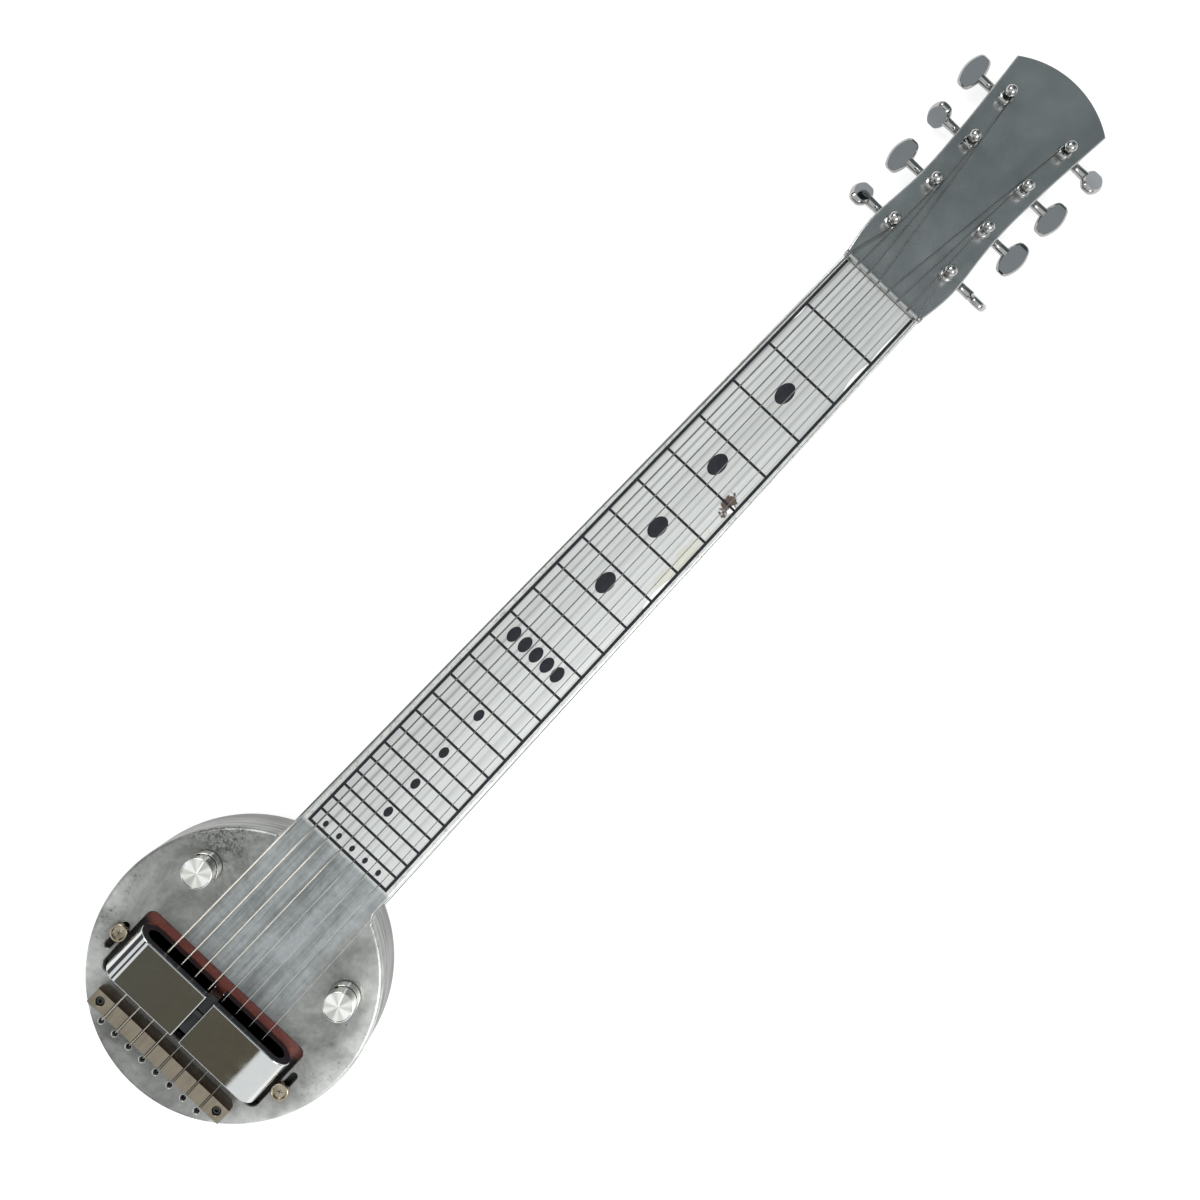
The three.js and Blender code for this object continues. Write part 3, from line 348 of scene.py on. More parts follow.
def skin(rings):
    """Rings of equal point count joined side by side, with a flat face over either end."""
    rings = np.asarray(rings)
    rows, columns = rings.shape[:2]
    faces = grid_faces(rows, columns)
    faces.append(list(range(columns)))
    faces.append(list(range(rows * columns - columns, rows * columns)))
    return rings.reshape(-1, 3), faces


def slab(outline, levels):
    """An outline in X and Y carried up Z through pairs of inset and height."""
    rings = []
    for distance, height in levels:
        ring = inset(outline, distance) if distance else outline
        rings.append(np.column_stack([ring, np.full(len(ring), height)]))
    return skin(rings)


def prism(outline, low, high):
    """An outline carried straight up from one height to another."""
    return slab(outline, [(0, low), (0, high)])


def lathe(profile, segments=48):
    """A profile of radius and height pairs, from axis to axis, turned once round Z."""
    profile = np.asarray(profile, float)
    turn = np.linspace(0, 2 * np.pi, segments, endpoint=False)[None, :]
    radius, height = profile[:, :1], profile[:, 1:]
    points = np.stack([radius * np.cos(turn), radius * np.sin(turn), height + 0 * turn], axis=-1)
    return points.reshape(-1, 3), grid_faces(len(profile), segments)


def tube(path, radius, sides, up):
    """Rings that stand square to a path, and at either end a dome whose rings shrink to nothing over
    a quarter circle."""
    along = np.gradient(path, axis=0)
    along /= np.linalg.norm(along, axis=1, keepdims=True)
    rise = np.radians([90, 60, 30])
    shrink = np.cos(rise) + 1e-3
    first = path[0] - along[0] * radius * np.sin(rise)[:, None]
    last = path[-1] + along[-1] * radius * np.sin(rise[::-1])[:, None]
    radii = radius * np.concatenate([shrink, np.ones(len(path)), shrink[::-1]])
    path = np.vstack([first, path, last])
    along = np.vstack([along[[0] * 3], along, along[[-1] * 3]])
    side = np.cross(along, up)
    side /= np.linalg.norm(side, axis=1, keepdims=True)
    top = np.cross(side, along)
    turn = np.linspace(0, 2 * np.pi, sides, endpoint=False)[None, :, None]
    ring = np.cos(turn) * side[:, None] + np.sin(turn) * top[:, None]
    return skin(path[:, None] + radii[:, None, None] * ring)


def moved(shell, matrix=None, shift=(0, 0, 0)):
    """A shell turned by a matrix and then shifted."""
    points, faces = shell
    if matrix is not None:
        points = points @ np.asarray(matrix).T
    return points + np.asarray(shift, float), faces


def rotation(axis, degrees):
    """Turn by the right-hand rule about X, Y or Z."""
    c, s = math.cos(math.radians(degrees)), math.sin(math.radians(degrees))
    return np.array({
        "X": [[1, 0, 0], [0, c, -s], [0, s, c]],
        "Y": [[c, 0, s], [0, 1, 0], [-s, 0, c]],
        "Z": [[c, -s, 0], [s, c, 0], [0, 0, 1]],
    }[axis])


ALONG_Y = rotation("X", -90)
ALONG_X = rotation("Y", 90)


def shell_mesh(name, shells):
    """Joins shells into one mesh in metres, closes seams and poles and turns faces outwards."""
    points, faces, start = [], [], 0
    for shell_points, shell_faces in shells:
        points.append(shell_points)
        faces += [[start + corner for corner in face] for face in shell_faces]
        start += len(shell_points)
    mesh = bpy.data.meshes.new(name)
    mesh.from_pydata((np.vstack(points) * MM).tolist(), [], faces)
    work = bmesh.new()
    work.from_mesh(mesh)
    bmesh.ops.remove_doubles(work, verts=work.verts, dist=1e-7)
    bmesh.ops.recalc_face_normals(work, faces=work.faces)
    work.to_mesh(mesh)
    work.free()
    return mesh


def new_object(name, mesh):
    item = bpy.data.objects.new(name, mesh)
    bpy.context.scene.collection.objects.link(item)
    return item


def solid(name, *shells):
    """A new object joined from closed shells."""
    return new_object(name, shell_mesh(name, shells))


def carve(item, shells, operation="DIFFERENCE"):
    """Cuts an object by closed shells, or joins them to it, and keeps the result as its mesh."""
    tool = new_object("tool", shell_mesh("tool", shells))
    modifier = item.modifiers.new("carve", "BOOLEAN")
    modifier.operation = operation
    modifier.solver = "MANIFOLD"
    modifier.object = tool
    bpy.context.view_layer.update()
    whole = item.evaluated_get(bpy.context.evaluated_depsgraph_get())
    before = len(item.data.polygons)
    result = bpy.data.meshes.new_from_object(whole)
    if len(result.polygons) == 0 or len(result.polygons) == before:
        raise RuntimeError(f"the cut of {item.name} changed nothing")
    item.modifiers.clear()
    item.data = result
    bpy.data.objects.remove(tool)


def finish(item, body, look, replaces=(), sharp=32, weighted=False):
    """Shades an object, gives it a finish by its name and hangs it under the empty of its body."""
    item.data.shade_smooth()
    item.data.set_sharp_from_angle(angle=math.radians(sharp))
    if weighted:
        modifier = item.modifiers.new("normals", "WEIGHTED_NORMAL")
        modifier.keep_sharp = True
        modifier.weight = 100
    item.data.materials.clear()
    item.data.materials.append(Finish.made[look])
    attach(item, body)
    if replaces:
        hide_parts(*replaces)
    return item


def tint_faces(item, axis, look, beyond=0.0):
    """Gives a second finish to the faces that look along an axis and lie beyond a distance in X."""
    item.data.materials.append(Finish.made[look])
    faces = item.data.polygons
    normals, middles = np.empty(len(faces) * 3), np.empty(len(faces) * 3)
    faces.foreach_get("normal", normals)
    faces.foreach_get("center", middles)
    chosen = np.abs(normals.reshape(-1, 3) @ np.asarray(axis, float)) > 0.98
    chosen &= np.abs(middles.reshape(-1, 3)[:, 0]) > beyond * MM
    faces.foreach_set("material_index", chosen.astype(np.int32))


def refinish(node, look):
    """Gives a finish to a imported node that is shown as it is."""
    materials = NODES[node].data.materials
    materials.clear()
    materials.append(Finish.made[look])


def piece(name, shells, body, look, replaces=(), sharp=32):
    """A finished piece straight from its shells."""
    return finish(solid(name, *shells), body, look, replaces, sharp)


# Finishes


class Finish:
    """A material being wired: each method adds nodes and returns the socket that they feed."""

    made = {}

    def __init__(self, name, world=None):
        self.material = world or bpy.data.materials.new(name)
        self.material.use_nodes = True
        self.nodes = self.material.node_tree.nodes
        self.links = self.material.node_tree.links
        self.nodes.clear()
        self.place = self.add("TexCoord").outputs["Generated" if world else "Object"]
        if not world:
            Finish.made[name] = self.material

    def add(self, kind, settings=None, inputs=None):
        node = self.nodes.new("ShaderNode" + kind)
        for key, value in (settings or {}).items():
            setattr(node, key, value)
        for key, value in (inputs or {}).items():
            self.feed(node.inputs[key], value)
        return node

    def feed(self, socket, value):
        if isinstance(value, bpy.types.NodeSocket):
            self.links.new(value, socket)
        else:
            socket.default_value = value

    def noise(self, size, detail=4.0, rough=0.55, stretch=None, distort=0.0):
        """Cloudy noise whose patches are about as large as size, in millimetres. A stretch is what the
        place is multiplied by along each axis, so a number below 1 draws the patches out."""
        vector = self.place
        if stretch:
            vector = self.add("Mapping", inputs={"Vector": vector, "Scale": stretch}).outputs[0]
        return self.add("TexNoise", inputs={
            "Vector": vector, "Scale": 1 / (size * MM), "Detail": detail, "Roughness": rough,
            "Distortion": distort}).outputs["Fac"]

    def math(self, operation, first, second=0.0):
        return self.add("Math", {"operation": operation}, {0: first, 1: second}).outputs[0]

    def plus(self, first, second):
        return self.math("ADD", first, second)

    def minus(self, first, second):
        return self.math("SUBTRACT", first, second)

    def times(self, product, *factors):
        for factor in factors:
            product = self.math("MULTIPLY", product, factor)
        return product

    def distance(self, across, along):
        return self.math("SQRT", self.plus(self.times(across, across), self.times(along, along)))

    def span(self, value, low, high, to_low=0.0, to_high=1.0, kind="LINEAR"):
        """A value mapped from one range to another and held inside it."""
        return self.add("MapRange", {"interpolation_type": kind}, {
            "Value": value, "From Min": low, "From Max": high,
            "To Min": to_low, "To Max": to_high}).outputs[0]

    def mix(self, share, first, second):
        node = self.add("Mix", {"data_type": "RGBA"})
        self.feed(node.inputs[0], share)
        self.feed(node.inputs[6], first)
        self.feed(node.inputs[7], second)
        return node.outputs[2]

    def scale(self, tone, factor):
        """A colour made darker or lighter by a factor that varies over the surface."""
        tone = tone if isinstance(tone, bpy.types.NodeSocket) else tone[:3]
        return self.add("VectorMath", {"operation": "SCALE"}, {0: tone, "Scale": factor}).outputs[0]

    def axes(self):
        return self.add("SeparateXYZ", inputs={0: self.place}).outputs

    def bump(self, height, depth):
        """A bump whose full height is depth, in millimetres."""
        inputs = {"Height": height, "Distance": depth * MM, "Strength": 1.0}
        return self.add("Bump", inputs=inputs).outputs[0]

    def shade(self, base, roughness, metallic=1.0, normal=None, specular=0.5):
        inputs = {"Base Color": base, "Roughness": roughness, "Metallic": metallic,
                  "Specular IOR Level": specular}
        if normal is not None:
            inputs["Normal"] = normal
        shader = self.add("BsdfPrincipled", inputs=inputs)
        self.add("OutputMaterial", inputs={"Surface": shader.outputs[0]})
        return self.material


def scaled(tone, factor):
    """A colour made darker or lighter by a factor."""
    return (*(min(channel * factor, 1.0) for channel in tone[:3]), 1.0)


def cast_finish(tones):
    """Sand-cast aluminium with oxide clouds: brushed under the strings, bright on the margins of the
    neck, with a painted highlight round the rim on its lit sides and a painted highlight ring round
    each string hole, banded and painted darker as shade down the wall of the body, and satin on the
    headstock."""
    f = Finish("cast aluminium")
    x, y, z = f.axes()
    body_y = BODY_Y * MM
    clouds = f.noise(42, 6, 0.62, distort=0.8)
    mottle = f.span(clouds, 0.36, 0.62)
    base = f.mix(mottle, tones.cast_dark, tones.cast)
    # Painted highlight: the rim is painted much lighter on the right side and on the left beside the
    # body's middle, where light falls on its rounded edge.
    lit_left = f.times(f.span(x, -0.03, -0.07), f.span(y, body_y - 0.02, body_y + 0.02, 1, 0))
    lit = f.math("MAXIMUM", f.span(x, 0.02, 0.07), lit_left)
    rim = f.span(f.distance(x, f.minus(y, body_y)), 0.06, 0.081)
    rim = f.times(rim, f.span(f.noise(24, 3, 0.5), 0.28, 0.58), lit, 0.85)
    base = f.mix(rim, base, scaled(tones.cast, 2.1))
    pit_tone = scaled(tones.cast_dark, 0.35)
    pits = f.times(f.span(f.noise(1.5, 3, 0.7), 0.58, 0.66), f.span(mottle, 0.5, 0.0, 0, 0.7))
    base = f.mix(pits, base, pit_tone)
    oxide_place = (-0.057, -0.25, DECK * MM)
    oxide = f.add("VectorMath", {"operation": "DISTANCE"}, {0: f.place, 1: oxide_place}).outputs["Value"]
    oxide = f.plus(oxide, f.span(f.noise(9, 4, 0.6), 0.2, 0.8, -0.012, 0.012))
    oxide = f.times(f.span(oxide, 0.02, 0.006), f.span(f.noise(1.3, 3, 0.7), 0.46, 0.56), 0.75)
    base = f.mix(oxide, base, pit_tone)

    streaks = f.plus(f.noise(5, 5, 0.75, stretch=(1, 0.05, 1)), f.span(clouds, 0.3, 0.7, -0.09, 0.09))
    dull, bright = scaled(tones.cast_streak, 0.56), scaled(tones.cast_streak, 1.15)
    brushed = f.mix(f.span(streaks, 0.34, 0.64), dull, bright)
    wander = f.span(f.noise(14, 3, 0.6, stretch=(1, 0.3, 1)), 0.3, 0.7, -0.006, 0.006)
    share = f.times(
        f.span(f.plus(f.math("ABSOLUTE", x), wander), 0.028, 0.037, 1, 0, "SMOOTHSTEP"),
        f.span(y, PICKUP_FRONT - 0.004, PICKUP_FRONT + 0.025, 0.5, 0.85),
        f.span(y, PICKUP_FRONT - 0.01, PICKUP_FRONT),
        f.span(y, BOARD_END - 0.0007, BOARD_END + 0.0003, 1, 0))
    base = f.mix(share, base, brushed)
    base = f.scale(base, f.span(f.noise(4.5, 6, 0.7), 0.3, 0.7, 0.84, 1.16))

    # Painted highlight: a lighter ring round each string hole stands in for the light that its flared
    # mouth catches.
    pitch = TAIL_PITCH * MM
    beside = f.times(f.minus(f.math("FRACT", f.math("DIVIDE", x, pitch)), 0.5), pitch)
    from_hole = f.distance(beside, f.minus(y, TAIL_HOLE_Y * MM))
    base = f.mix(f.span(from_hole, 0.0018, 0.0023, 0.6, 0), base, scaled(tones.cast, 2.4))

    # Painted shade: down the wall the casting is painted darker than the deck, with banded streaks that
    # grow faint low down.
    wall_bands_and_shade = f.span(f.noise(2.2, 4, 0.65, stretch=(0.05, 0.05, 1)), 0.36, 0.62, -0.42, 0.42)
    wall_bands_and_shade = f.plus(f.times(wall_bands_and_shade, f.span(z, 0.014, 0.026, 0.12, 1)), 0.66)
    base = f.mix(f.span(z, DECK_EDGE - 0.002, DECK_EDGE, 1, 0), base, f.scale(tones.cast, wall_bands_and_shade))

    nicks = f.span(f.noise(1.1, 4, 0.75, stretch=(1, 0.35, 1)), 0.34, 0.48)
    margin = f.mix(nicks, scaled(tones.cast, 1.25), scaled(tones.cast, 2.2))
    side = f.mix(mottle, scaled(tones.cast, 0.85), scaled(tones.cast, 1.25))
    margin = f.mix(f.span(z, DECK_EDGE - 0.004, DECK_EDGE, 1, 0), margin, side)
    base = f.mix(f.span(y, BOARD_END - 0.003, BOARD_END), base, margin)
    to_head = f.span(y, (SCALE_START + 1) * MM, (SCALE_START + 5) * MM)
    head_cloud = f.span(f.noise(34, 4, 0.55, stretch=(1, 0.6, 1)), 0.3, 0.7, 0.86, 1.14)
    base = f.mix(to_head, base, f.scale(tones.head, head_cloud))
    roughness = f.span(clouds, 0.35, 0.65, 0.5, 0.34)
    smooth = f.span(f.noise(11, 4, 0.6), 0.3, 0.7, 0.16, 0.24)
    roughness = f.plus(roughness, f.times(to_head, f.minus(smooth, roughness)))
    grain = f.times(f.noise(0.9, 3, 0.6), f.span(to_head, 0, 1, 1, 0.15))
    return f.shade(base, roughness, 0.9, f.bump(grain, 0.04))


def uneven_oval(f, centre, half, wobble, size):
    """Falls from 1 inside an uneven oval on the fretboard to 0 outside it. Sizes are in millimetres."""
    steps = [f.math("DIVIDE", f.minus(value, middle * MM), reach * MM)
             for value, middle, reach in zip(f.axes(), centre, half)]
    uneven = f.span(f.noise(size, 4, 0.7), 0.25, 0.75, -wobble, wobble)
    return f.span(f.plus(f.distance(*steps), uneven), 0.9, 1.0, 1, 0)


# White of the painted highlights (gleams) along the fretboard's edges
PAINTED_GLEAM = (0.95, 0.95, 0.93, 1)
# Each spot of the fretboard: place, half sizes, how uneven its edge is, the size of that
# unevenness, how strongly it covers the paint, and its colour. Four gleams that are painted
# highlights along the edges, a stain, and the brown chip with bare metal at its side.
WEAR_AND_HIGHLIGHTS = (
    ((24.3, 177), (2.2, 11), 0.05, 9, 1, PAINTED_GLEAM),
    ((24.1, 200), (1.5, 12), 0.05, 9, 1, PAINTED_GLEAM),
    ((-24.4, 182), (1.3, 6), 0.05, 9, 1, PAINTED_GLEAM),
    ((26.1, 14), (2.0, 12), 0.05, 9, 1, PAINTED_GLEAM),
    ((22.5, 34), (3.5, 22), 0.7, 8, 0.35, (0.5, 0.46, 0.3, 1)),
    ((20.6, 77), (4.2, 6.4), 0.7, 3.6, 1, (0.085, 0.06, 0.045, 1)),
    ((23.6, 76), (1.6, 2.8), 0.8, 1.8, 1, (0.85, 0.85, 0.8, 1)),
)


def board_finish(tones):
    """Silver paint drawn out along the strings, its streaks partly painted shade, with a painted soft
    shadow beside each string, painted highlights along the edges, a stain and a brown chip."""
    f = Finish("board plate")
    x, y, _ = f.axes()
    # The streaks along the strings are partly the paint's own marks and partly painted shade, standing in
    # for the soft bands that the strings cast.
    streaks = f.span(f.noise(2.6, 3, 0.55, stretch=(1, 0.008, 1)), 0.36, 0.64, 0.92, 1.08)
    # Painted shadow: a soft dark line beside each string, stronger under the bass strings, stands in for
    # the shadow that the string casts on the plate.
    bridge = box_mm("bridge")[1][1]
    pitch = f.span(y, SCALE_START * MM, bridge * MM, NUT_PITCH * MM, BRIDGE_PITCH * MM)
    beside = 0.45
    apart = f.math("FRACT", f.plus(f.math("DIVIDE", x, pitch), STRINGS / 2 - beside))
    apart = f.math("ABSOLUTE", f.minus(apart, 0.5))
    shadow = f.times(f.span(apart, 0.01, 0.13, 1, 0, "SMOOTHSTEP"), f.span(x, -0.028, 0.022, 0.42, 0.16))
    base = f.scale(tones.board, f.times(streaks, f.minus(1.0, shadow)))
    # The stain and the chip are marks on the paint; the gleams are painted highlights.
    for centre, half, wobble, size, share, tone in WEAR_AND_HIGHLIGHTS:
        base = f.mix(f.times(uneven_oval(f, centre, half, wobble, size), share), base, tone)
    return f.shade(base, f.span(f.noise(9, 3, 0.5), 0.3, 0.7, 0.38, 0.48), 0.25)


def enamel_finish(tones):
    f = Finish("black enamel")
    base = f.mix(f.noise(3, 3, 0.6), tones.enamel, scaled(tones.enamel, 2.2))
    return f.shade(base, f.span(f.noise(6), 0.3, 0.7, 0.3, 0.5), 0.0, specular=0.15)


def chrome_finish(name, tone):
    """Bright plating with faint haze."""
    f = Finish(name)
    haze = f.noise(7, 4, 0.6)
    return f.shade(f.mix(haze, scaled(tone, 0.86), tone), f.span(haze, 0.35, 0.75, 0.01, 0.035))


def turned_finish(tones):
    """Lathe-turned aluminium: a painted highlight that fans out over the top, and a side painted darker
    on one hand and nearly black in its groove as painted shade."""
    f = Finish("turned aluminium")
    x, y, z = f.axes()
    centre = under("volume_knob") * MM
    across = f.minus(f.math("ABSOLUTE", x), abs(centre[0]))
    fan = f.math("ARCTAN2", f.minus(y, centre[1]), across)
    # Painted highlight: fans of light round the middle of the top, two broad and six narrow.
    painted_sheen = f.plus(f.math("COSINE", f.times(fan, 2)), f.math("COSINE", f.times(fan, 6)))
    top_level, groove_low, groove_high, fade = 0.0554, 0.0478, 0.0486, 0.00005
    on_top = f.span(z, top_level - 0.0003, top_level)
    in_groove = f.times(
        f.span(z, groove_low - fade, groove_low), f.span(z, groove_high, groove_high + fade, 1, 0))
    # Painted shade: the side is darker on one hand and the groove is painted nearly black.
    side = f.times(f.span(fan, -0.6, 2.4, 1.1, 0.82), f.span(in_groove, 0, 1, 1, 0.12))
    top = f.times(f.span(painted_sheen, -1.2, 1.8, 0.6, 1.24), on_top)
    light = f.plus(top, f.times(side, f.minus(1.0, on_top)))
    return f.shade(f.scale(tones.turned, light), 0.16)


def metal_finish(name, tone, rough_low, rough_high, size, grain, dark=0.7, stretch=None):
    """Worn metal: patches of tone and roughness with a fine grain."""
    f = Finish(name)
    patch = f.span(f.noise(size, 4, 0.6, stretch), 0.32, 0.68)
    roughness = f.plus(f.times(patch, rough_low - rough_high), rough_high)
    return f.shade(f.mix(patch, scaled(tone, dark), tone), roughness, 1.0,
                   f.bump(f.noise(0.8, 3, 0.6), grain))


def wire_finish(name, tone, wrap):
    """String wire with painted light: bright between the bridge and the fretboard, dull on the bridge,
    nearly black in its hole as painted shade, and dark grey over the fretboard and the headstock.
    A wound one has rings a wrap apart."""
    f = Finish(name)
    _, y, z = f.axes()
    # Painted light and shade: the same wire is painted nearly black below the deck, half as bright from
    # the bridge back, and dark grey over the fretboard and the headstock.
    in_open = f.span(z, DECK_EDGE + 0.001, DECK_EDGE + 0.0025, 0.12, 1)
    bridge_front, grey = -0.34, (0.13, 0.132, 0.13, 1)
    bright = f.times(f.span(y, bridge_front - 0.006, bridge_front, 0.5, 1.0), in_open)
    tone = f.mix(f.span(y, BOARD_END - 0.0155, BOARD_END + 0.0045), tone, grey)
    if not wrap:
        return f.shade(f.scale(tone, bright), f.span(f.noise(20), 0.3, 0.7, 0.25, 0.35))
    wraps = f.math("SINE", f.times(y, 2 * math.pi / (wrap * MM)))
    base = f.scale(tone, f.times(bright, f.span(wraps, -1, 1, 0.86, 1.0)))
    return f.shade(base, 0.38, 1.0, f.bump(wraps, 0.012))


def fibre_finish(tones):
    """Flecked fibre, black where it lies in the shade of the opening's ends."""
    f = Finish("red fibre")
    x, y, _ = f.axes()
    fleck = f.span(f.noise(1.2, 4, 0.7), 0.35, 0.7)
    base = f.mix(fleck, scaled(tones.fibre, 0.7), scaled(tones.fibre, 1.5))
    out = f.math("ABSOLUTE", x)
    behind = f.span(y, PICKUP_FRONT - 0.005, PICKUP_FRONT - 0.002, 1, 0)
    beside = f.times(f.span(out, 0.054, 0.0555), behind)
    shaded = f.math("MAXIMUM", beside, f.span(out, 0.0585, 0.0592))
    base = f.mix(shaded, base, (0.008, 0.007, 0.007, 1))
    return f.shade(base, f.span(f.noise(5), 0.3, 0.7, 0.45, 0.65), 0.0, f.bump(f.noise(0.7, 3, 0.6), 0.03))


def plastic_finish(name, tone):
    f = Finish(name)
    base = f.mix(f.noise(4, 3, 0.6), scaled(tone, 0.8), scaled(tone, 1.3))
    return f.shade(base, f.span(f.noise(9), 0.3, 0.7, 0.32, 0.45), 0.0, f.bump(f.noise(0.6, 2, 0.5), 0.01))


def copper_finish(tones):
    """Layers of fine varnished wire, seen as close horizontal lines."""
    f = Finish("copper wire")
    layer = 0.3 * MM
    turns = f.math("SINE", f.times(f.axes()[2], 2 * math.pi / layer))
    base = f.mix(f.span(turns, -1, 1), scaled(tones.copper, 0.5), scaled(tones.copper, 1.3))
    return f.shade(base, 0.4, 0.8, f.bump(turns, 0.06))


def make_finishes(context):
    """Makes every finish once."""
    if Finish.made:
        return
    tones = read(context, "guitar_finishes")
    cast_finish(tones)
    board_finish(tones)
    enamel_finish(tones)
    chrome_finish("chrome", tones.chrome)
    chrome_finish("worn chrome", tones.worn_chrome)
    chrome_finish("smoked chrome", tones.painted_dark)
    turned_finish(tones)
    metal_finish("aged nickel", tones.nickel, 0.3, 0.5, 5, 0.02, 0.7, (1, 0.3, 1))
    metal_finish("steel", tones.steel, 0.22, 0.38, 6, 0.01)
    metal_finish("dark steel", scaled(tones.steel, 0.14), 0.3, 0.45, 3, 0.01)
    metal_finish("pale nickel", scaled(tones.nickel, 1.55), 0.14, 0.26, 2, 0.004, 0.6)
    wire_finish("plain wire", tones.wire, 0)
    wire_finish("wound wire", tones.wound, 0.42)
    fibre_finish(tones)
    plastic_finish("black plastic", tones.black)
    copper_finish(tones)
    plastic_finish("white paint", (0.8, 0.8, 0.78, 1.0))


# The casting


def pan_profile(b):
    """Half section of the round body: rounded front and back edges, and a hollow open at the back."""
    front = arc((b.radius - b.top_edge, DECK - b.top_edge), b.top_edge, 90, 0, 8)
    centre = b.radius - b.back_edge
    back = arc((centre, b.back_edge), b.back_edge, 0, -90, 12)
    lip_top = b.cover_depth + b.lip
    inner = b.back_edge - b.wall
    start = math.degrees(math.asin((lip_top - b.back_edge) / inner))
    ledge = b.cover_radius - b.ledge
    seat = b.cover_radius + 0.3
    inside = arc((centre, b.back_edge), inner, start, 0, 8)
    ceiling = DECK - b.wall
    return np.vstack([
        [(0, DECK)], front, back,
        [(seat, 0), (seat, b.cover_depth), (ledge, b.cover_depth), (ledge, lip_top)],
        inside, [(b.radius - b.wall, ceiling), (0, ceiling)]])


def neck_ring(b, y, top, half, depth):
    """A section of the neck: flat front with eased edges, short straight sides, half-oval back."""
    edge = b.neck_edge
    front = np.vstack([arc((half - edge, -edge), edge, 90, 0, 5), [(half, -b.neck_side)]])
    turn = np.radians(np.linspace(0, 180, 33))[1:-1]
    back = np.column_stack([half * np.cos(turn), -b.neck_side - (depth - b.neck_side) * np.sin(turn)])
    ring = np.vstack([front, back, front[::-1] * (-1, 1)])
    return np.column_stack([ring[:, 0], np.full(len(ring), y), top + ring[:, 1]])


def neck_width(y, at_nut, at_body, board_end):
    """Half width at y of a piece that tapers evenly from the nut to the end of the fretboard."""
    start = SCALE_START + NUT_LEAD
    return (at_nut + (at_body - at_nut) * (start - y) / (start - board_end)) / 2


def neck_shell(b):
    """Sections from under the headstock to inside the body: a smooth step thins the neck at the
    headstock, and a fillet arc that touches both the neck's side and the round body widens it."""
    nut_half = b.neck_at_nut / 2
    last_half, drop, thinning = 26.3, 4, 15
    rings = []
    for share in np.linspace(1, 0, 9)[:-1]:
        ease = share * share * (3 - 2 * share)
        half = nut_half + (last_half - nut_half) * ease
        rings.append(neck_ring(
            b, HEAD_BEND + b.volute * share, DECK - drop * ease, half, b.neck_depth_nut - thinning * ease))
    rings.append(neck_ring(b, HEAD_BEND, DECK, nut_half, b.neck_depth_nut))
    reach, out = b.radius + b.flare, b.neck_at_body / 2 + b.flare
    level = BODY_Y + math.sqrt(reach ** 2 - out ** 2)
    for swing in np.linspace(0, math.acos(out / reach), 11):
        half, y = out - b.flare * math.cos(swing), level - b.flare * math.sin(swing)
        rings.append(neck_ring(b, y, DECK, half, b.neck_depth_body))
    rings.append(neck_ring(b, y - b.heel, DECK, half, b.neck_depth_body))
    return skin(rings)


def head_outline(b):
    """The headstock seen square on: two mirrored curves and a crown that is an arc of a circle."""
    half, rise = 34.2, 11.2
    side = [(27.8, -0.5), (31.1, 25), (28.4, 64), (30, 104), (half, b.head_length - rise)]
    right = curve_through(side, 8)
    radius = (half ** 2 + rise ** 2) / (2 * rise)
    swing = math.degrees(math.asin(half / radius))
    crown = arc((0, b.head_length - radius), radius, 90 - swing, 90 + swing, 32)[1:-1]
    return np.vstack([right, crown, right[::-1] * (-1, 1)])


def on_head(b, shell, x=0.0, along=0.0, off=0.0):
    """A shell placed on the headstock: x across, along from the bend, off its tilted face."""
    turn = rotation("X", -math.degrees(b.head_tilt))
    shift = turn @ np.array([x, along, off]) + (0, HEAD_BEND, DECK)
    return moved(shell, turn, shift)


def bore(radius, low, high):
    """A round cutter whose mouth flares above its top."""
    return lathe([(0, low), (radius, low), (radius, high), (radius + 1, high + 1), (0, high + 1)], 32)


def string_x(index, pitch):
    return (index - (STRINGS - 1) / 2) * pitch


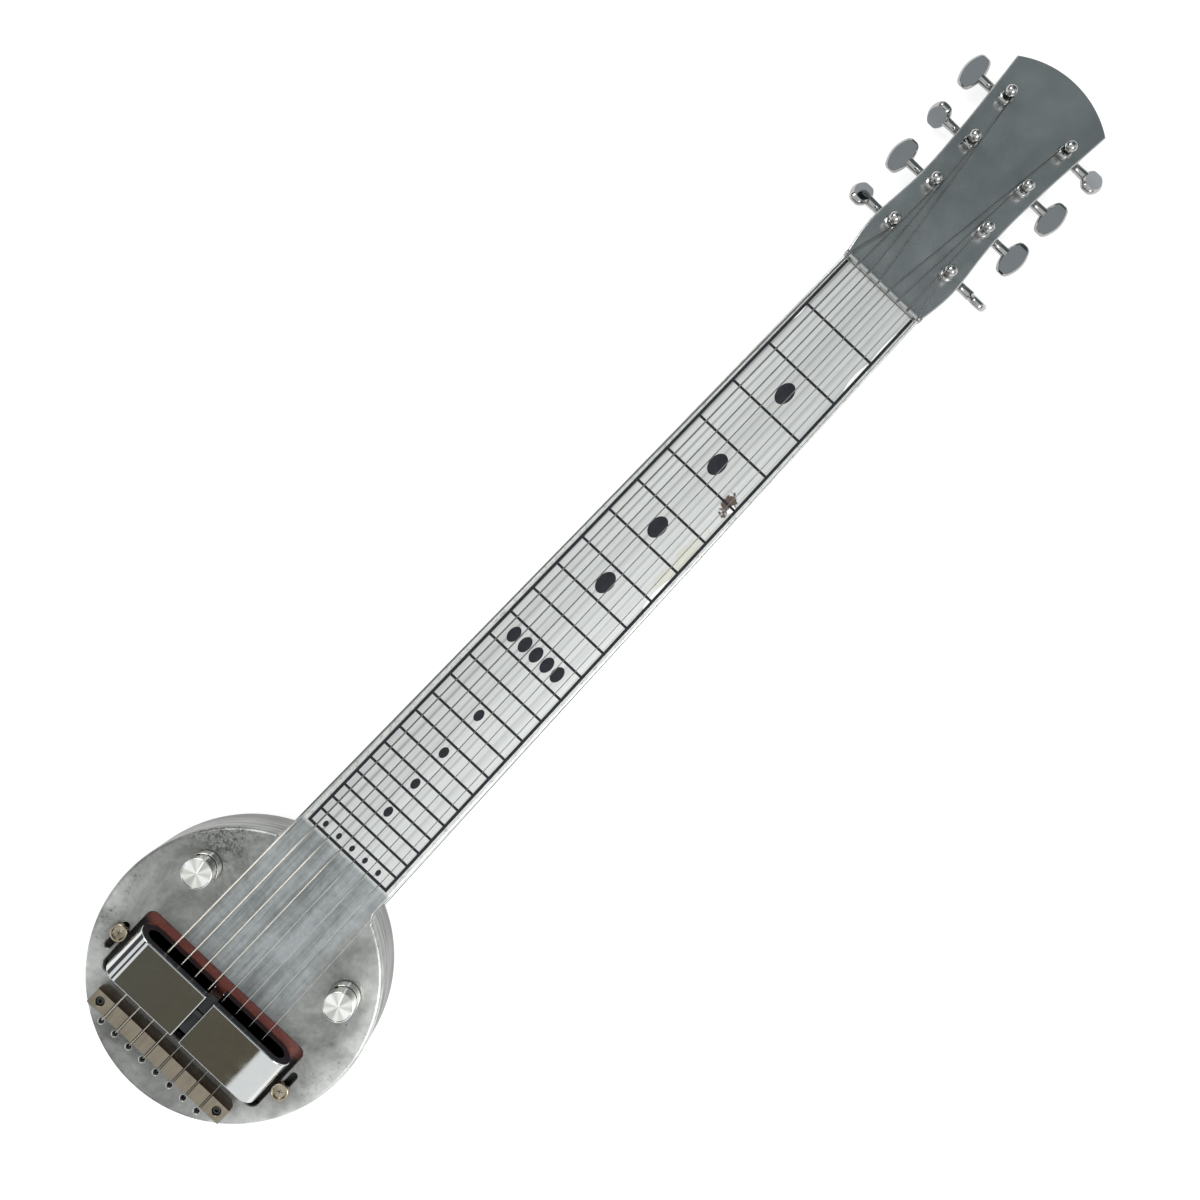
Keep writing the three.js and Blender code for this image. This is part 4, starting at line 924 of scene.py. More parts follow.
class GUITAR_OT_casting(bpy.types.Operator):
    """Builds the cast body with its neck and headstock, the back cover and its screws"""

    bl_idname = "guitar.casting"
    bl_label = "Casting"

    def execute(self, context):
        b = read(context, "guitar_body")
        make_finishes(context)
        item = solid("cast_guitar", moved(lathe(pan_profile(b), 216), shift=(0, BODY_Y, 0)))
        head = slab(head_outline(b), eased(-b.head_thickness, 0, 1.0, 3))
        for added in (neck_shell(b), on_head(b, head), self.tail_block(b)):
            carve(item, [added], "UNION")
        tools = self.openings(b, read(context, "guitar_pickup"))
        tools += self.round_holes(b, read(context, "guitar_plate"), read(context, "guitar_tuners"))
        carve(item, tools)
        finish(item, "guitar", "cast aluminium", ["body_casting"], weighted=True)

        low, high = levels_of("back_cover")
        cover = lathe([(0, low), (b.cover_radius - 0.4, low), (b.cover_radius, low + 0.4),
                       (b.cover_radius, high), (0, high)], 180)
        plate = solid("cover_plate", moved(cover, shift=(0, BODY_Y, 0)))
        carve(plate, [self.cover_screw(number) for number in range(1, 5)])
        finish(plate, "guitar", "cast aluminium", ["back_cover"], weighted=True)
        return {"FINISHED"}

    def tail_block(self, b):
        """The thick part under the deck that the strings pass through."""
        half = 45
        inside = b.radius - b.wall / 2
        reach = math.degrees(math.asin(half / inside))
        foot = arc((0, BODY_Y), inside, 270 - reach, 270 + reach, 24)
        front = TAIL_HOLE_Y + 6
        outline = np.vstack([foot, [(half, front), (-half, front)]])
        return prism(outline, BLOCK_FOOT, DECK - b.wall + 0.5)

    def openings(self, b, u):
        """Cutters for the pickup's opening, the jack and the slots of the clamping screws."""
        levels = [(0, DECK - b.wall - 1), (0, DECK - 0.5), (-1.5, DECK + 1)]
        window_half, from_bridge = 58.4, 4
        window_y = box_mm("bridge")[1][1] + from_bridge + u.window / 2
        window = slab(rectangle(window_half, u.window / 2, u.window_corner, 10), levels)
        tools = [moved(window, shift=(0, window_y, 0))]
        jack_z = np.mean(box_mm("output_jack"), axis=0)[2]
        recess, thread, seat = 6.8, 5, 1.8
        jack = lathe([(0, -3), (recess, -3), (recess, seat), (thread, seat), (thread, 9), (0, 9)], 48)
        tools.append(moved(jack, ALONG_Y, (0, TAIL_END, jack_z)))
        slot = slab(stadium(u.slot_length / 2, u.slot_width / 2), levels)
        for name, off_screw in (("bass", -2.95), ("treble", 3.15)):
            shift = under(f"pickup_screw_{name}") + (0, off_screw, 0)
            tools.append(moved(slot, rotation("Z", 90), shift))
        return tools

    def round_holes(self, b, p, t):
        """Cutters for the controls, the screws, the posts and the strings."""
        inside = DECK - b.wall - 1
        pot_hole, screw_hole = bore(4.9, inside, DECK), bore(1.9, inside, DECK)
        post_hole = bore(2.9, -b.head_thickness - 1, 0)
        tools = [moved(pot_hole, shift=under(f"{control}_pot")) for control in ("volume", "tone")]
        for name, side in SIDES.items():
            tools.append(moved(screw_hole, shift=under(f"bridge_screw_{name}")))
            for row, inset_x in enumerate(ROW_INSETS):
                tools.append(on_head(b, post_hole, side * inset_x, t.first_row + row * t.pitch))
        ball, wire = BALL_RADIUS + 0.3, 1.65
        foot, step = BLOCK_FOOT - 1, BLOCK_FOOT + BALL_HEIGHT + 0.3
        profile = [(0, foot), (ball, foot), (ball, step), (wire, step), (wire, DECK - 0.3),
                   (wire + 1.3, DECK + 1), (0, DECK + 1)]
        for index in range(STRINGS):
            shift = (string_x(index, p.tail_pitch), TAIL_HOLE_Y, 0)
            tools.append(moved(lathe(profile, 28), shift=shift))
        for number in range(1, 5):
            tools.append(moved(bore(1.8, 2.3, 8), shift=under(f"back_cover_screw_{number}")))
        return tools

    def cover_screw(self, number):
        """Builds a countersunk screw of the cover and gives the cutter of its seat."""
        node = f"back_cover_screw_{number}"
        low, high = levels_of(node)
        place, turn = under(node), 35 * number
        shape = lathe([(0, 0), (2.9, 0), (3.2, 0.25), (1.5, 1.4), (1.5, 5.3), (1.2, 5.6), (0, 5.6)], 32)
        screw = solid(f"cover_fastener_{number}", moved(shape, shift=place + (0, 0, low)))
        slot = prism(rectangle(4, 0.45, 0), -1, 0.6)
        carve(screw, [moved(slot, rotation("Z", turn), place + (0, 0, low))])
        finish(screw, "guitar", "steel", [node])
        seat = lathe([(0, low - 1), (3.5, low - 1), (3.5, low + 0.3), (1.8, low + 1.7), (1.8, high),
                      (0, high)], 32)
        return moved(seat, shift=place)


# Fretboard, nut and bridge


def fret_y(p, number):
    """Each fret leaves the twelfth root of two less of the scale than the one before."""
    return SCALE_START - p.scale * (1 - RATIO ** -number)


def strip(p, margin, start, stop, low, high, board_end):
    """A crosswise strip of the tapering fretboard, kept a margin off its edges."""
    near = neck_width(start, p.width_at_nut, p.width_at_body, board_end) - margin
    far = neck_width(stop, p.width_at_nut, p.width_at_body, board_end) - margin
    return prism(np.array([(-near, start), (-far, stop), (far, stop), (near, start)], float), low, high)


def notched_bar(half, section, top, strings, depth, width, samples=900):
    """A bar along X from a section of Y and Z pairs: its top dips in a rounded notch at each string."""
    x = np.linspace(-half, half, samples)
    section = np.asarray(section, float)
    away = np.min(np.abs(x[:, None] - np.asarray(strings)[None]), axis=1)
    dip = depth * np.clip(1 - (away / width) ** 2, 0, 1) ** 0.5
    height = np.minimum(section[None, :, 1], top - dip[:, None])
    points = np.stack([np.broadcast_to(x[:, None], height.shape),
                       np.broadcast_to(section[None, :, 0], height.shape), height], axis=-1)
    return skin(points)


# Ovals of the fretboard: place across, distance from the start of the scale, and half sizes
MARKS = (
    [(1.1, 76.8, 4.7, 6.9), (0.8, 131, 4.7, 6.9), (0.5, 179, 4.7, 6.9), (0.5, 221.3, 4.7, 6.9)]
    + [(x, 276.9, 3.3, 5) for x in (-16.7, -8.3, 0, 8.3, 16.1)]
    + [(0, 323, 2.5, 3.7), (0, 351.3, 2.4, 3.5), (0.3, 374.7, 2.3, 3.4), (0, 396.3, 2.2, 3.3)]
    + [(x, 424.9, 1.4, 1.95) for x in (-20.6, -10.6, -0.6, 9.2, 19.2)]
)
NOTCH_WIDTH = 0.75


class GUITAR_OT_plate(bpy.types.Operator):
    """Finishes the fretboard and builds its lines, the nut and the bridge"""

    bl_idname = "guitar.plate"
    bl_label = "Fretboard, Nut and Bridge"

    def execute(self, context):
        p = read(context, "guitar_plate")
        make_finishes(context)
        self.board(p)
        self.nut(p)
        self.bridge(p)
        for name in SIDES:
            self.bridge_screw(name)
        return {"FINISHED"}

    def board(self, p):
        """The silver plate, the black lines and the black ovals on it."""
        low, high = box_mm("fretboard")
        near, far = p.width_at_nut / 2, p.width_at_body / 2
        corners = np.array([(-near, high[1]), (-far, low[1]), (far, low[1]), (near, high[1])])
        plate = slab(corners, eased(DECK, high[2], 0.15, 2))
        piece("fret_plate", [plate], "guitar", "board plate", ["fretboard"])
        floor, top = high[2] - 0.1, high[2] + p.enamel
        margin = 0.15
        lines = []
        half = p.fret_line / 2
        for number in range(1, p.frets):
            y = fret_y(p, number)
            lines.append(strip(p, p.border, y + half, y - half, floor, top, low[1]))
        lines.append(strip(p, margin, low[1] + p.border, low[1] + margin, floor, top, low[1]))
        start, stop = high[1] - margin, low[1] + p.border
        rim = [neck_width(y, p.width_at_nut, p.width_at_body, low[1]) for y in (start, stop)]
        for side in (-1, 1):
            outer = [side * (value - margin) for value in rim]
            inner = [side * (value - p.border) for value in rim]
            corners = [(outer[0], start), (outer[1], stop), (inner[1], stop), (inner[0], start)]
            lines.append(prism(np.array(corners), floor, top))
        piece("board_lines", lines, "guitar", "black enamel")

        discs = []
        turn = np.linspace(0, 2 * np.pi, 48, endpoint=False)
        for x, behind, across, along in MARKS:
            oval = np.column_stack([across * np.cos(turn), along * np.sin(turn)])
            disc = slab(oval, [(0, floor), (0, top - 0.02), (0.05, top)])
            discs.append(moved(disc, shift=(x, SCALE_START - behind, 0)))
        piece("board_marks", discs, "guitar", "black enamel")

    def nut(self, p):
        """A bar with rounded edges and a round knop at either end."""
        low, high = box_mm("nut")
        edge, knop_radius = 0.9, 1.45
        section = np.vstack([
            [(low[1], low[2])], [(high[1], low[2])],
            arc((high[1] - edge, high[2] - edge), edge, 0, 90, 6),
            arc((low[1] + edge, high[2] - edge), edge, 90, 180, 6)])
        strings = [string_x(index, p.nut_pitch) for index in range(STRINGS)]
        shells = [notched_bar(high[0] - 0.4, section, high[2], strings, p.notch, NOTCH_WIDTH)]
        dome = arc((0, high[2] - knop_radius), knop_radius, 0, 90, 8)
        knop = lathe(np.vstack([[(0, low[2])], [(knop_radius, low[2])], dome]), 24)
        middle = (low[1] + high[1]) / 2
        shells += [moved(knop, shift=(side * (high[0] - knop_radius), middle, 0)) for side in (-1, 1)]
        piece("nut_bar", shells, "guitar", "steel", ["nut"])

    def bridge(self, p):
        """A bar with a low ridge on top, cut off askew at the lower corners of its ends."""
        low, high = box_mm("bridge")
        edge = 0.35
        section = np.vstack([
            [(low[1], low[2]), (high[1], low[2])],
            arc((high[1] - edge, high[2] - edge), edge, 0, 90, 3),
            [((low[1] + high[1]) / 2, high[2])],
            arc((low[1] + edge, high[2] - edge), edge, 90, 180, 3)])
        strings = [string_x(index, p.bridge_pitch) for index in range(STRINGS)]
        bar = solid("bridge_bar", notched_bar(high[0], section, high[2], strings, p.notch, NOTCH_WIDTH))
        tools = []
        for side in (-1, 1):
            corner = np.array([(side * (high[0] + 1), low[2] - 1), (side * (high[0] - 3.1), low[2] - 1),
                               (side * (high[0] + 1), low[2] + 4.8)], float)
            tools.append(moved(prism(corner, -high[1] - 1, -low[1] + 1), rotation("X", 90)))
        bottom, top = low[2], high[2]
        pocket = lathe([(0, bottom - 1), (1.9, bottom - 1), (1.9, top - 3.7), (2.6, top - 3.7),
                        (2.6, top - 0.3), (3.9, top + 1), (0, top + 1)], 40)
        tools += [moved(pocket, shift=under(f"bridge_screw_{name}")) for name in SIDES]
        carve(bar, tools)
        finish(bar, "guitar", "aged nickel", ["bridge"], weighted=True)

    def bridge_screw(self, name):
        """A socket screw with a six-sided socket."""
        node = f"bridge_screw_{name}"
        bottom, top = levels_of(node)
        shape = lathe([(0, bottom), (1.6, bottom), (1.6, top - 2.4), (2.1, top - 2.4), (2.3, top - 2.2),
                       (2.3, top - 0.3), (2.0, top), (0, top)], 40)
        screw = solid(f"bridge_fastener_{name}", moved(shape, shift=under(node)))
        turn = np.radians(np.arange(6) * 60)
        socket = prism(1.3 * np.column_stack([np.cos(turn), np.sin(turn)]), top - 1.4, top + 1)
        carve(screw, [moved(socket, shift=under(node))])
        finish(screw, "guitar", "dark steel", [node])


# Strings

GAUGES = (1.4, 1.2, 1.0, 0.85, 0.6, 0.5, 0.44, 0.4)
WOUND = 4


def winding(b, t, index):
    """The turns round a post: a helix that climbs down the post's waist as it goes round. The strings
    of the first row start lower, so that they pass under their neighbours."""
    bass = index < STRINGS / 2
    row = index if bass else STRINGS - 1 - index
    side = -1 if bass else 1
    gauge = GAUGES[index]
    under = GAUGES[index + 1 if bass else index - 1] + 0.6 if row == 0 else 0
    waist_top, waist_foot, waist_radius = 7.6, 2.4, 2.1
    top = waist_top - under - gauge / 2
    pitch = gauge + 0.5
    turns = min(math.floor(2 * (top - gauge / 2 - waist_foot) / pitch) / 2, 3)
    radius = waist_radius + gauge / 2
    turn = np.linspace(0, 2 * np.pi * turns, int(turns * 32) + 1)
    x = side * (ROW_INSETS[row] - radius * np.cos(turn))
    along = t.first_row + row * t.pitch + radius * np.sin(turn)
    helix = np.column_stack([x, along, top - pitch * turn / (2 * np.pi)])
    return on_head(b, (helix, []))[0]


def softened(path, radius, steps=6):
    """A path whose corners become short arcs, each a curve between points near the corner."""
    path = np.asarray(path, float)
    pieces = [path[:1]]
    for before, corner, after in zip(path[:-2], path[1:-1], path[2:]):
        back, ahead = before - corner, after - corner
        reach = min(radius, np.linalg.norm(back) / 3, np.linalg.norm(ahead) / 3)
        first = corner + back / np.linalg.norm(back) * reach
        last = corner + ahead / np.linalg.norm(ahead) * reach
        t = np.linspace(0, 1, steps + 1)[:, None]
        pieces.append((1 - t) ** 2 * first + 2 * t * (1 - t) * corner + t ** 2 * last)
    pieces.append(path[-1:])
    return np.vstack(pieces)


class GUITAR_OT_strings(bpy.types.Operator):
    """Builds the eight strings, from their ball ends to their turns round the posts"""

    bl_idname = "guitar.strings"
    bl_label = "Strings"

    def execute(self, context):
        b, p, t = (read(context, key) for key in ("guitar_body", "guitar_plate", "guitar_tuners"))
        make_finishes(context)
        nut_low, nut_high = box_mm("nut")
        bridge_low, bridge_high = box_mm("bridge")
        edge, ball_top = 0.5, BLOCK_FOOT + BALL_HEIGHT
        ball = lathe(np.vstack([
            [(0, BLOCK_FOOT)], arc((BALL_RADIUS - edge, BLOCK_FOOT + edge), edge, -90, 0, 3),
            arc((BALL_RADIUS - edge, ball_top - edge), edge, 0, 90, 3), [(0, ball_top)]]), 24)
        for index, gauge in enumerate(GAUGES):
            wound = index < WOUND
            lift = 0.3 + gauge / 2
            tail_x, bridge_x, nut_x = (
                string_x(index, pitch) for pitch in (p.tail_pitch, p.bridge_pitch, p.nut_pitch))
            bridge_level = bridge_high[2] - p.notch + lift
            nut_level = nut_high[2] - p.notch + lift
            turns = winding(b, t, index)
            leaving = turns[-1] - turns[-2]
            loose = turns[-1] + leaving / np.linalg.norm(leaving) * 4
            straight = softened(np.array([
                (tail_x, TAIL_HOLE_Y, BLOCK_FOOT + BALL_HEIGHT / 2), (tail_x, TAIL_HOLE_Y, DECK - 4),
                (tail_x, TAIL_HOLE_Y + 0.9, DECK),
                (bridge_x, bridge_low[1], bridge_level + 0.2), (bridge_x, bridge_high[1], bridge_level),
                (nut_x, nut_low[1], nut_level), (nut_x, nut_high[1], nut_level), turns[0]]), 1.2)
            path = np.vstack([straight[:-1], turns, loose])
            wire = tube(path, gauge / 2 * (0.8 if wound else 1), 12, (0.02, 0.1, 1))
            piece(f"wire_{index + 1}", [wire, moved(ball, shift=(tail_x, TAIL_HOLE_Y, 0))], "guitar",
                  "wound wire" if wound else "plain wire", [f"string_{index + 1}"], sharp=60)
        return {"FINISHED"}


# Tuning machines

BUTTON_TURNS = {"bass": (-42, 17, 78, 14), "treble": (-67, 9, 12, -39)}
# How far beyond its post each worm lies, along the headstock
WORM_OFFSET = 7.2


def post_shells():
    """A post turned from a profile, with a washer, a collar, a thin waist for the string and a round
    head, and the toothed wheel at its foot."""
    profile = np.vstack([
        [(0, -21.3), (2.6, -21.3), (2.6, 0.3), (3.8, 0.3), (4.1, 0.5), (4.1, 1.0), (3.9, 1.25)],
        [(3.5, 1.35), (3.5, 1.7), (3.0, 1.95), (1.85, 2.1), (1.8, 2.4), (1.8, 7.2), (2.0, 7.6)],
        [(2.5, 8.0)], arc((0, 10.35), 3.45, -42, 84, 16), [(0, 13.8)]])
    teeth = 12
    turn = np.linspace(0, 2 * np.pi, teeth * 8, endpoint=False)
    radius = 4.15 + 0.35 * np.clip(2.2 * np.cos(teeth * turn), -1, 1)
    outline = np.column_stack([radius * np.cos(turn), radius * np.sin(turn)])
    return [lathe(profile, 40), slab(outline, eased(-21, -17, 0.4, 2))]


def worm_shell():
    """A screw thread: the radius rises and falls with the distance along plus the turn round it."""
    reach, ridges = 9.0, 4
    z = np.linspace(-reach / 2, reach / 2, 90)[:, None]
    turn = np.linspace(0, 2 * np.pi, 32, endpoint=False)[None, :]
    phase = z / reach * ridges - turn / (2 * np.pi)
    radius = 2.22 + 0.18 * np.clip(1.6 * np.cos(2 * np.pi * phase), -1, 1)
    return skin(np.stack([radius * np.cos(turn), radius * np.sin(turn), z + 0 * turn], axis=-1))


def button_shell(t, turn_degrees):
    """A barrel-shaped button: flat ends, sides that bulge between them, a bevel along either rim
    and faces that swell a little towards their middle."""
    reach, side = t.button_length / 2 - 0.1, t.button_width / 2 - 0.1
    end, corner = 3.3, 3.4
    span = np.hstack([-1, np.linspace(-0.72, 0.72, 13), 1])[:, None]
    bulge = np.hstack([-reach * span, end + (side - end) * (1 - span ** 2)])
    outline = filleted(np.vstack([bulge, -bulge]), ([corner] + [0] * 13 + [corner]) * 2, 7)
    half, crown = t.button_thickness / 2, 0.2
    levels = [(1.5, half - crown), (1.1, half - crown - 0.06), (0.35, half - crown - 0.9), (0, half - 1.7)]
    rings = []
    for distance, height in [(distance, -height) for distance, height in levels] + levels[::-1]:
        ring = inset(outline, distance) if distance else outline
        rings.append(np.column_stack([ring, np.full(len(ring), height)]))
    shares = np.array([0.8, 0.55, 0.3, 0.05])
    caps = [rings[-1] * (share, share, 1) + (0, 0, crown * (1 - share ** 2)) for share in shares]
    feet = [rings[0] * (share, share, 1) - (0, 0, crown * (1 - share ** 2)) for share in shares[::-1]]
    shell = moved(skin(feet + rings + caps), rotation("X", 90))
    return moved(shell, rotation("Z", turn_degrees + 90), (0, 0, t.reach))


class GUITAR_OT_tuners(bpy.types.Operator):
    """Builds the posts and the buttons with their worms, and finishes the brackets"""

    bl_idname = "guitar.tuners"
    bl_label = "Tuning Machines"

    def execute(self, context):
        b, t = read(context, "guitar_body"), read(context, "guitar_tuners")
        make_finishes(context)
        for name, side in SIDES.items():
            for row, swing in enumerate(BUTTON_TURNS[name]):
                self.machine(b, t, f"{name}_{row + 1}", side, row, side * swing)
        return {"FINISHED"}

    def machine(self, b, t, tag, side, row, swing):
        """One machine. The swing is the button's turn from flat, in degrees."""
        post, button = f"tuner_post_{tag}", f"tuner_button_{tag}"
        x, along = side * ROW_INSETS[row], t.first_row + row * t.pitch
        shells = [on_head(b, shell, x, along) for shell in post_shells()]
        piece(f"post_{tag}", shells, post, "worn chrome", [post])
        end = t.reach - t.button_width / 2 + 1.8
        shaft = lathe([(0, -7.1), (1.7, -7.1), (2, -6.8), (2, 7.4), (2.5, 7.4), (2.8, 7.7), (2.85, 11.5),
                       (2.95, 11.7), (2.95, 12.2), (2.85, 12.4), (3.1, end), (0, end)], 32)
        turn = ALONG_X if side > 0 else rotation("Z", 180) @ ALONG_X
        shells = [on_head(b, moved(shell, turn), x, along + WORM_OFFSET, -t.shaft_depth)
                  for shell in (shaft, worm_shell(), button_shell(t, swing))]
        key = piece(f"key_{tag}", shells, button, "worn chrome", [button])
        facing = rotation("Z", swing + 90) @ rotation("X", 90) @ (0, 0, 1)
        axis = rotation("X", -math.degrees(b.head_tilt)) @ turn @ facing
        inner_end = ROW_INSETS[row] + t.reach - t.button_width / 2
        # Painted reflection: the buttons' flat faces take a darker copy of the chrome.
        tint_faces(key, axis, "smoked chrome", inner_end)
        refinish(f"tuner_bracket_{tag}", "steel")


# Controls

KNOB_TURNS = {"volume": 12, "tone": 20}
# The set screw's direction from the pointer line, in degrees
SET_SCREW_TURN = 130


class GUITAR_OT_controls(bpy.types.Operator):
    """Builds the two knobs and finishes the potentiometers, the capacitor and the jack"""

    bl_idname = "guitar.controls"
    bl_label = "Controls"

    def execute(self, context):
        k = read(context, "guitar_controls")
        make_finishes(context)
        for control, turn in KNOB_TURNS.items():
            self.knob(k, control, turn)
            refinish(f"{control}_pot", "steel")
        refinish("tone_capacitor", "black plastic")
        refinish("output_jack", "steel")
        return {"FINISHED"}

    def knob(self, k, control, turn):
        """A turned knob with its set screw and its white pointer line."""
        node = f"{control}_knob"
        place = under(node)
        foot = DECK + 0.9
        top = foot + k.height
        floor = top - k.dish
        bottom, hub, hollow, groove = levels_of(node)[0], 2.9, 6.8, 8.1
        skirt_top, groove_top, screw_level = foot + 5.9, foot + 6.7, foot + 7.6
        profile = np.vstack([
            [(0, bottom), (hub, bottom), (hub, DECK + 0.6), (hollow, DECK + 1.4), (hollow, foot)],
            [(k.skirt - 0.2, foot)], [(k.skirt, foot + 0.2)],
            arc((k.skirt - 0.4, skirt_top - 0.4), 0.4, 0, 90, 4),
            [(groove, skirt_top), (groove, groove_top), (k.radius, groove_top)],
            arc((k.top_radius - 0.3, top - 0.3), 0.3, 0, 90, 4),
            [(k.top_radius - 0.5, top), (k.top_radius - 0.8, floor), (0, floor)]])
        knob = solid(f"dial_{control}", moved(lathe(profile, 96), shift=place))
        across = rotation("Z", SET_SCREW_TURN + turn)
        hole = moved(lathe([(0, 0), (1.2, 0), (1.2, 4), (0, 4)], 24), ALONG_X, (6.7, 0, screw_level))
        carve(knob, [moved(hole, across, place)])
        finish(knob, node, "turned aluminium", [node])
        screw = lathe([(0, 0), (1.05, 0), (1.05, 1), (0.9, 1.1), (0.45, 1.1), (0.45, 0.3), (0, 0.3)], 18)
        screw = moved(screw, ALONG_X, (6.5, 0, screw_level))
        piece(f"dial_screw_{control}", [moved(screw, across, place)], node, "steel")
        upright, flat = rectangle(0.55, 0.25, 0.1, 2), rectangle(0.4, 3.7, 0.1, 2)
        strokes = ((upright, k.top_radius - 0.05, foot + 7, top - 0.5),
                   (upright, k.skirt - 0.1, foot + 0.4, skirt_top - 0.4),
                   (flat, 4, floor - 0.2, floor + 0.03))
        line = [moved(moved(prism(outline, start, stop), shift=(0, out, 0)), rotation("Z", turn), place)
                for outline, out, start, stop in strokes]
        piece(f"dial_line_{control}", line, node, "white paint")


# Pickup


class GUITAR_OT_pickup(bpy.types.Operator):
    """Builds the horseshoe magnets, the base plate, the bobbin, the coil and the clamping screws"""

    bl_idname = "guitar.pickup"
    bl_label = "Pickup"

    def execute(self, context):
        u = read(context, "guitar_pickup")
        make_finishes(context)
        for name, side in SIDES.items():
            self.magnet(u, name, side)
            self.clamp_screw(name)
        self.base_plate()
        self.winding_parts(u)
        return {"FINISHED"}

    def magnet(self, u, name, side):
        """A bar bent into a horseshoe whose two legs point to the middle of the guitar."""
        low, high = box_mm(f"magnet_{name}")
        thickness, edge = u.magnet_thickness, u.magnet_round
        tip, reach = sorted((abs(low[0]), abs(high[0])))
        bend = (high[2] - low[2]) / 2
        inner = bend - thickness
        outline = filleted(
            [(tip, -bend), (reach, -bend), (reach, bend), (tip, bend), (tip, inner),
             (reach - thickness, inner), (reach - thickness, -inner), (tip, -inner)],
            [edge, bend - 0.01, bend - 0.01, edge, edge, inner - 0.01, inner - 0.01, edge], 20)
        shell = slab(outline * (side, 1), eased(-high[1], -low[1], edge, 4))
        shell = moved(shell, rotation("X", 90), (0, 0, (low[2] + high[2]) / 2))
        magnet = solid(f"horseshoe_{name}", shell)
        finish(magnet, "pickup", "chrome", [f"magnet_{name}"], weighted=True)
        # Painted shade: the magnets' end faces take black plastic where they lie in shade.
        tint_faces(magnet, (0, 1, 0), "black plastic")

    def clamp_screw(self, name):
        """A round-headed screw with a cross cut in its dished head."""
        node = f"pickup_screw_{name}"
        bottom, top = levels_of(node)
        foot, turn = DECK + 0.3, 25
        profile = np.vstack([
            [(0, bottom), (1.2, bottom), (1.6, bottom + 0.5), (1.6, foot), (4.9, foot), (5.1, foot + 0.2)],
            arc((4.3, top - 0.8), 0.8, 0, 120, 8), [(3.6, top - 0.9), (3.3, top - 1.3), (0, top - 1.2)]])
        screw = solid(f"clamp_screw_{name}", moved(lathe(profile, 56), shift=under(node)))
        for half_x, half_y in ((1.7, 0.4), (0.4, 1.7)):
            arm = slab(rectangle(half_x, half_y, 0.15, 2), [(0.3, top - 2.3), (0, top + 1)])
            carve(screw, [moved(arm, rotation("Z", turn), under(node))])
        finish(screw, "pickup", "pale nickel", [node])

    def base_plate(self):
        """A plate with a shorter, wider band across it whose ends carry the clamping screws."""
        low, high = box_mm("pickup_baseplate")
        levels = eased(low[2], high[2], 0.3, 2)
        half_x, ear_half, corner = 60.0, 8.5, 3
        plate = slab(rectangle(half_x, (high[1] - low[1]) / 2, corner), levels)
        base = solid("fibre_plate", moved(plate, shift=(0, (low[1] + high[1]) / 2, 0)))
        screws = [under(f"pickup_screw_{name}") for name in SIDES]
        ear_y = (screws[0][1] + screws[1][1]) / 2
        ears = slab(rectangle(high[0], ear_half, corner), levels)
        carve(base, [moved(ears, shift=(0, ear_y, 0))], "UNION")
        carve(base, [moved(bore(1.9, low[2] - 1, high[2]), shift=screw) for screw in screws])
        finish(base, "pickup", "red fibre", ["pickup_baseplate"])

    def winding_parts(self, u):
        """The bobbin, its coil and the pole bar that stands in the middle of both."""
        low, high = box_mm("pickup_bobbin")
        place = (0, (low[1] + high[1]) / 2, 0)
        ends = stadium(high[0], 13)
        core_reach, core_half = 38, 4
        spool = solid("spool", moved(slab(ends, eased(low[2], low[2] + u.flange, 0.3, 2)), shift=place))
        core = prism(stadium(core_reach, core_half), low[2] + 0.5, high[2] - 0.5)
        for added in (core, slab(ends, eased(high[2] - u.flange, high[2], 0.3, 2))):
            carve(spool, [moved(added, shift=place)], "UNION")
        hole = prism(stadium(36.8, 1.8), low[2] - 1, high[2] + 1)
        carve(spool, [moved(hole, shift=place)])
        finish(spool, "pickup", "black plastic", ["pickup_bobbin"])
        low, high = box_mm("pickup_coil")
        outline = stadium(high[0], (high[1] - low[1]) / 2)
        coil = solid("coil", moved(slab(outline, eased(low[2], high[2], 0.4, 3)), shift=place))
        hole = prism(stadium(core_reach + 0.3, core_half + 0.3), low[2] - 1, high[2] + 1)
        carve(coil, [moved(hole, shift=place)])
        finish(coil, "pickup", "copper wire", ["pickup_coil"])
        low, high = box_mm("pickup_pole_bar")
        pole = slab(stadium(high[0], 1.5), eased(low[2], high[2], 0.3, 2))
        piece("pole", [moved(pole, shift=place)], "pickup", "dark steel", ["pickup_pole_bar"])


# Studio


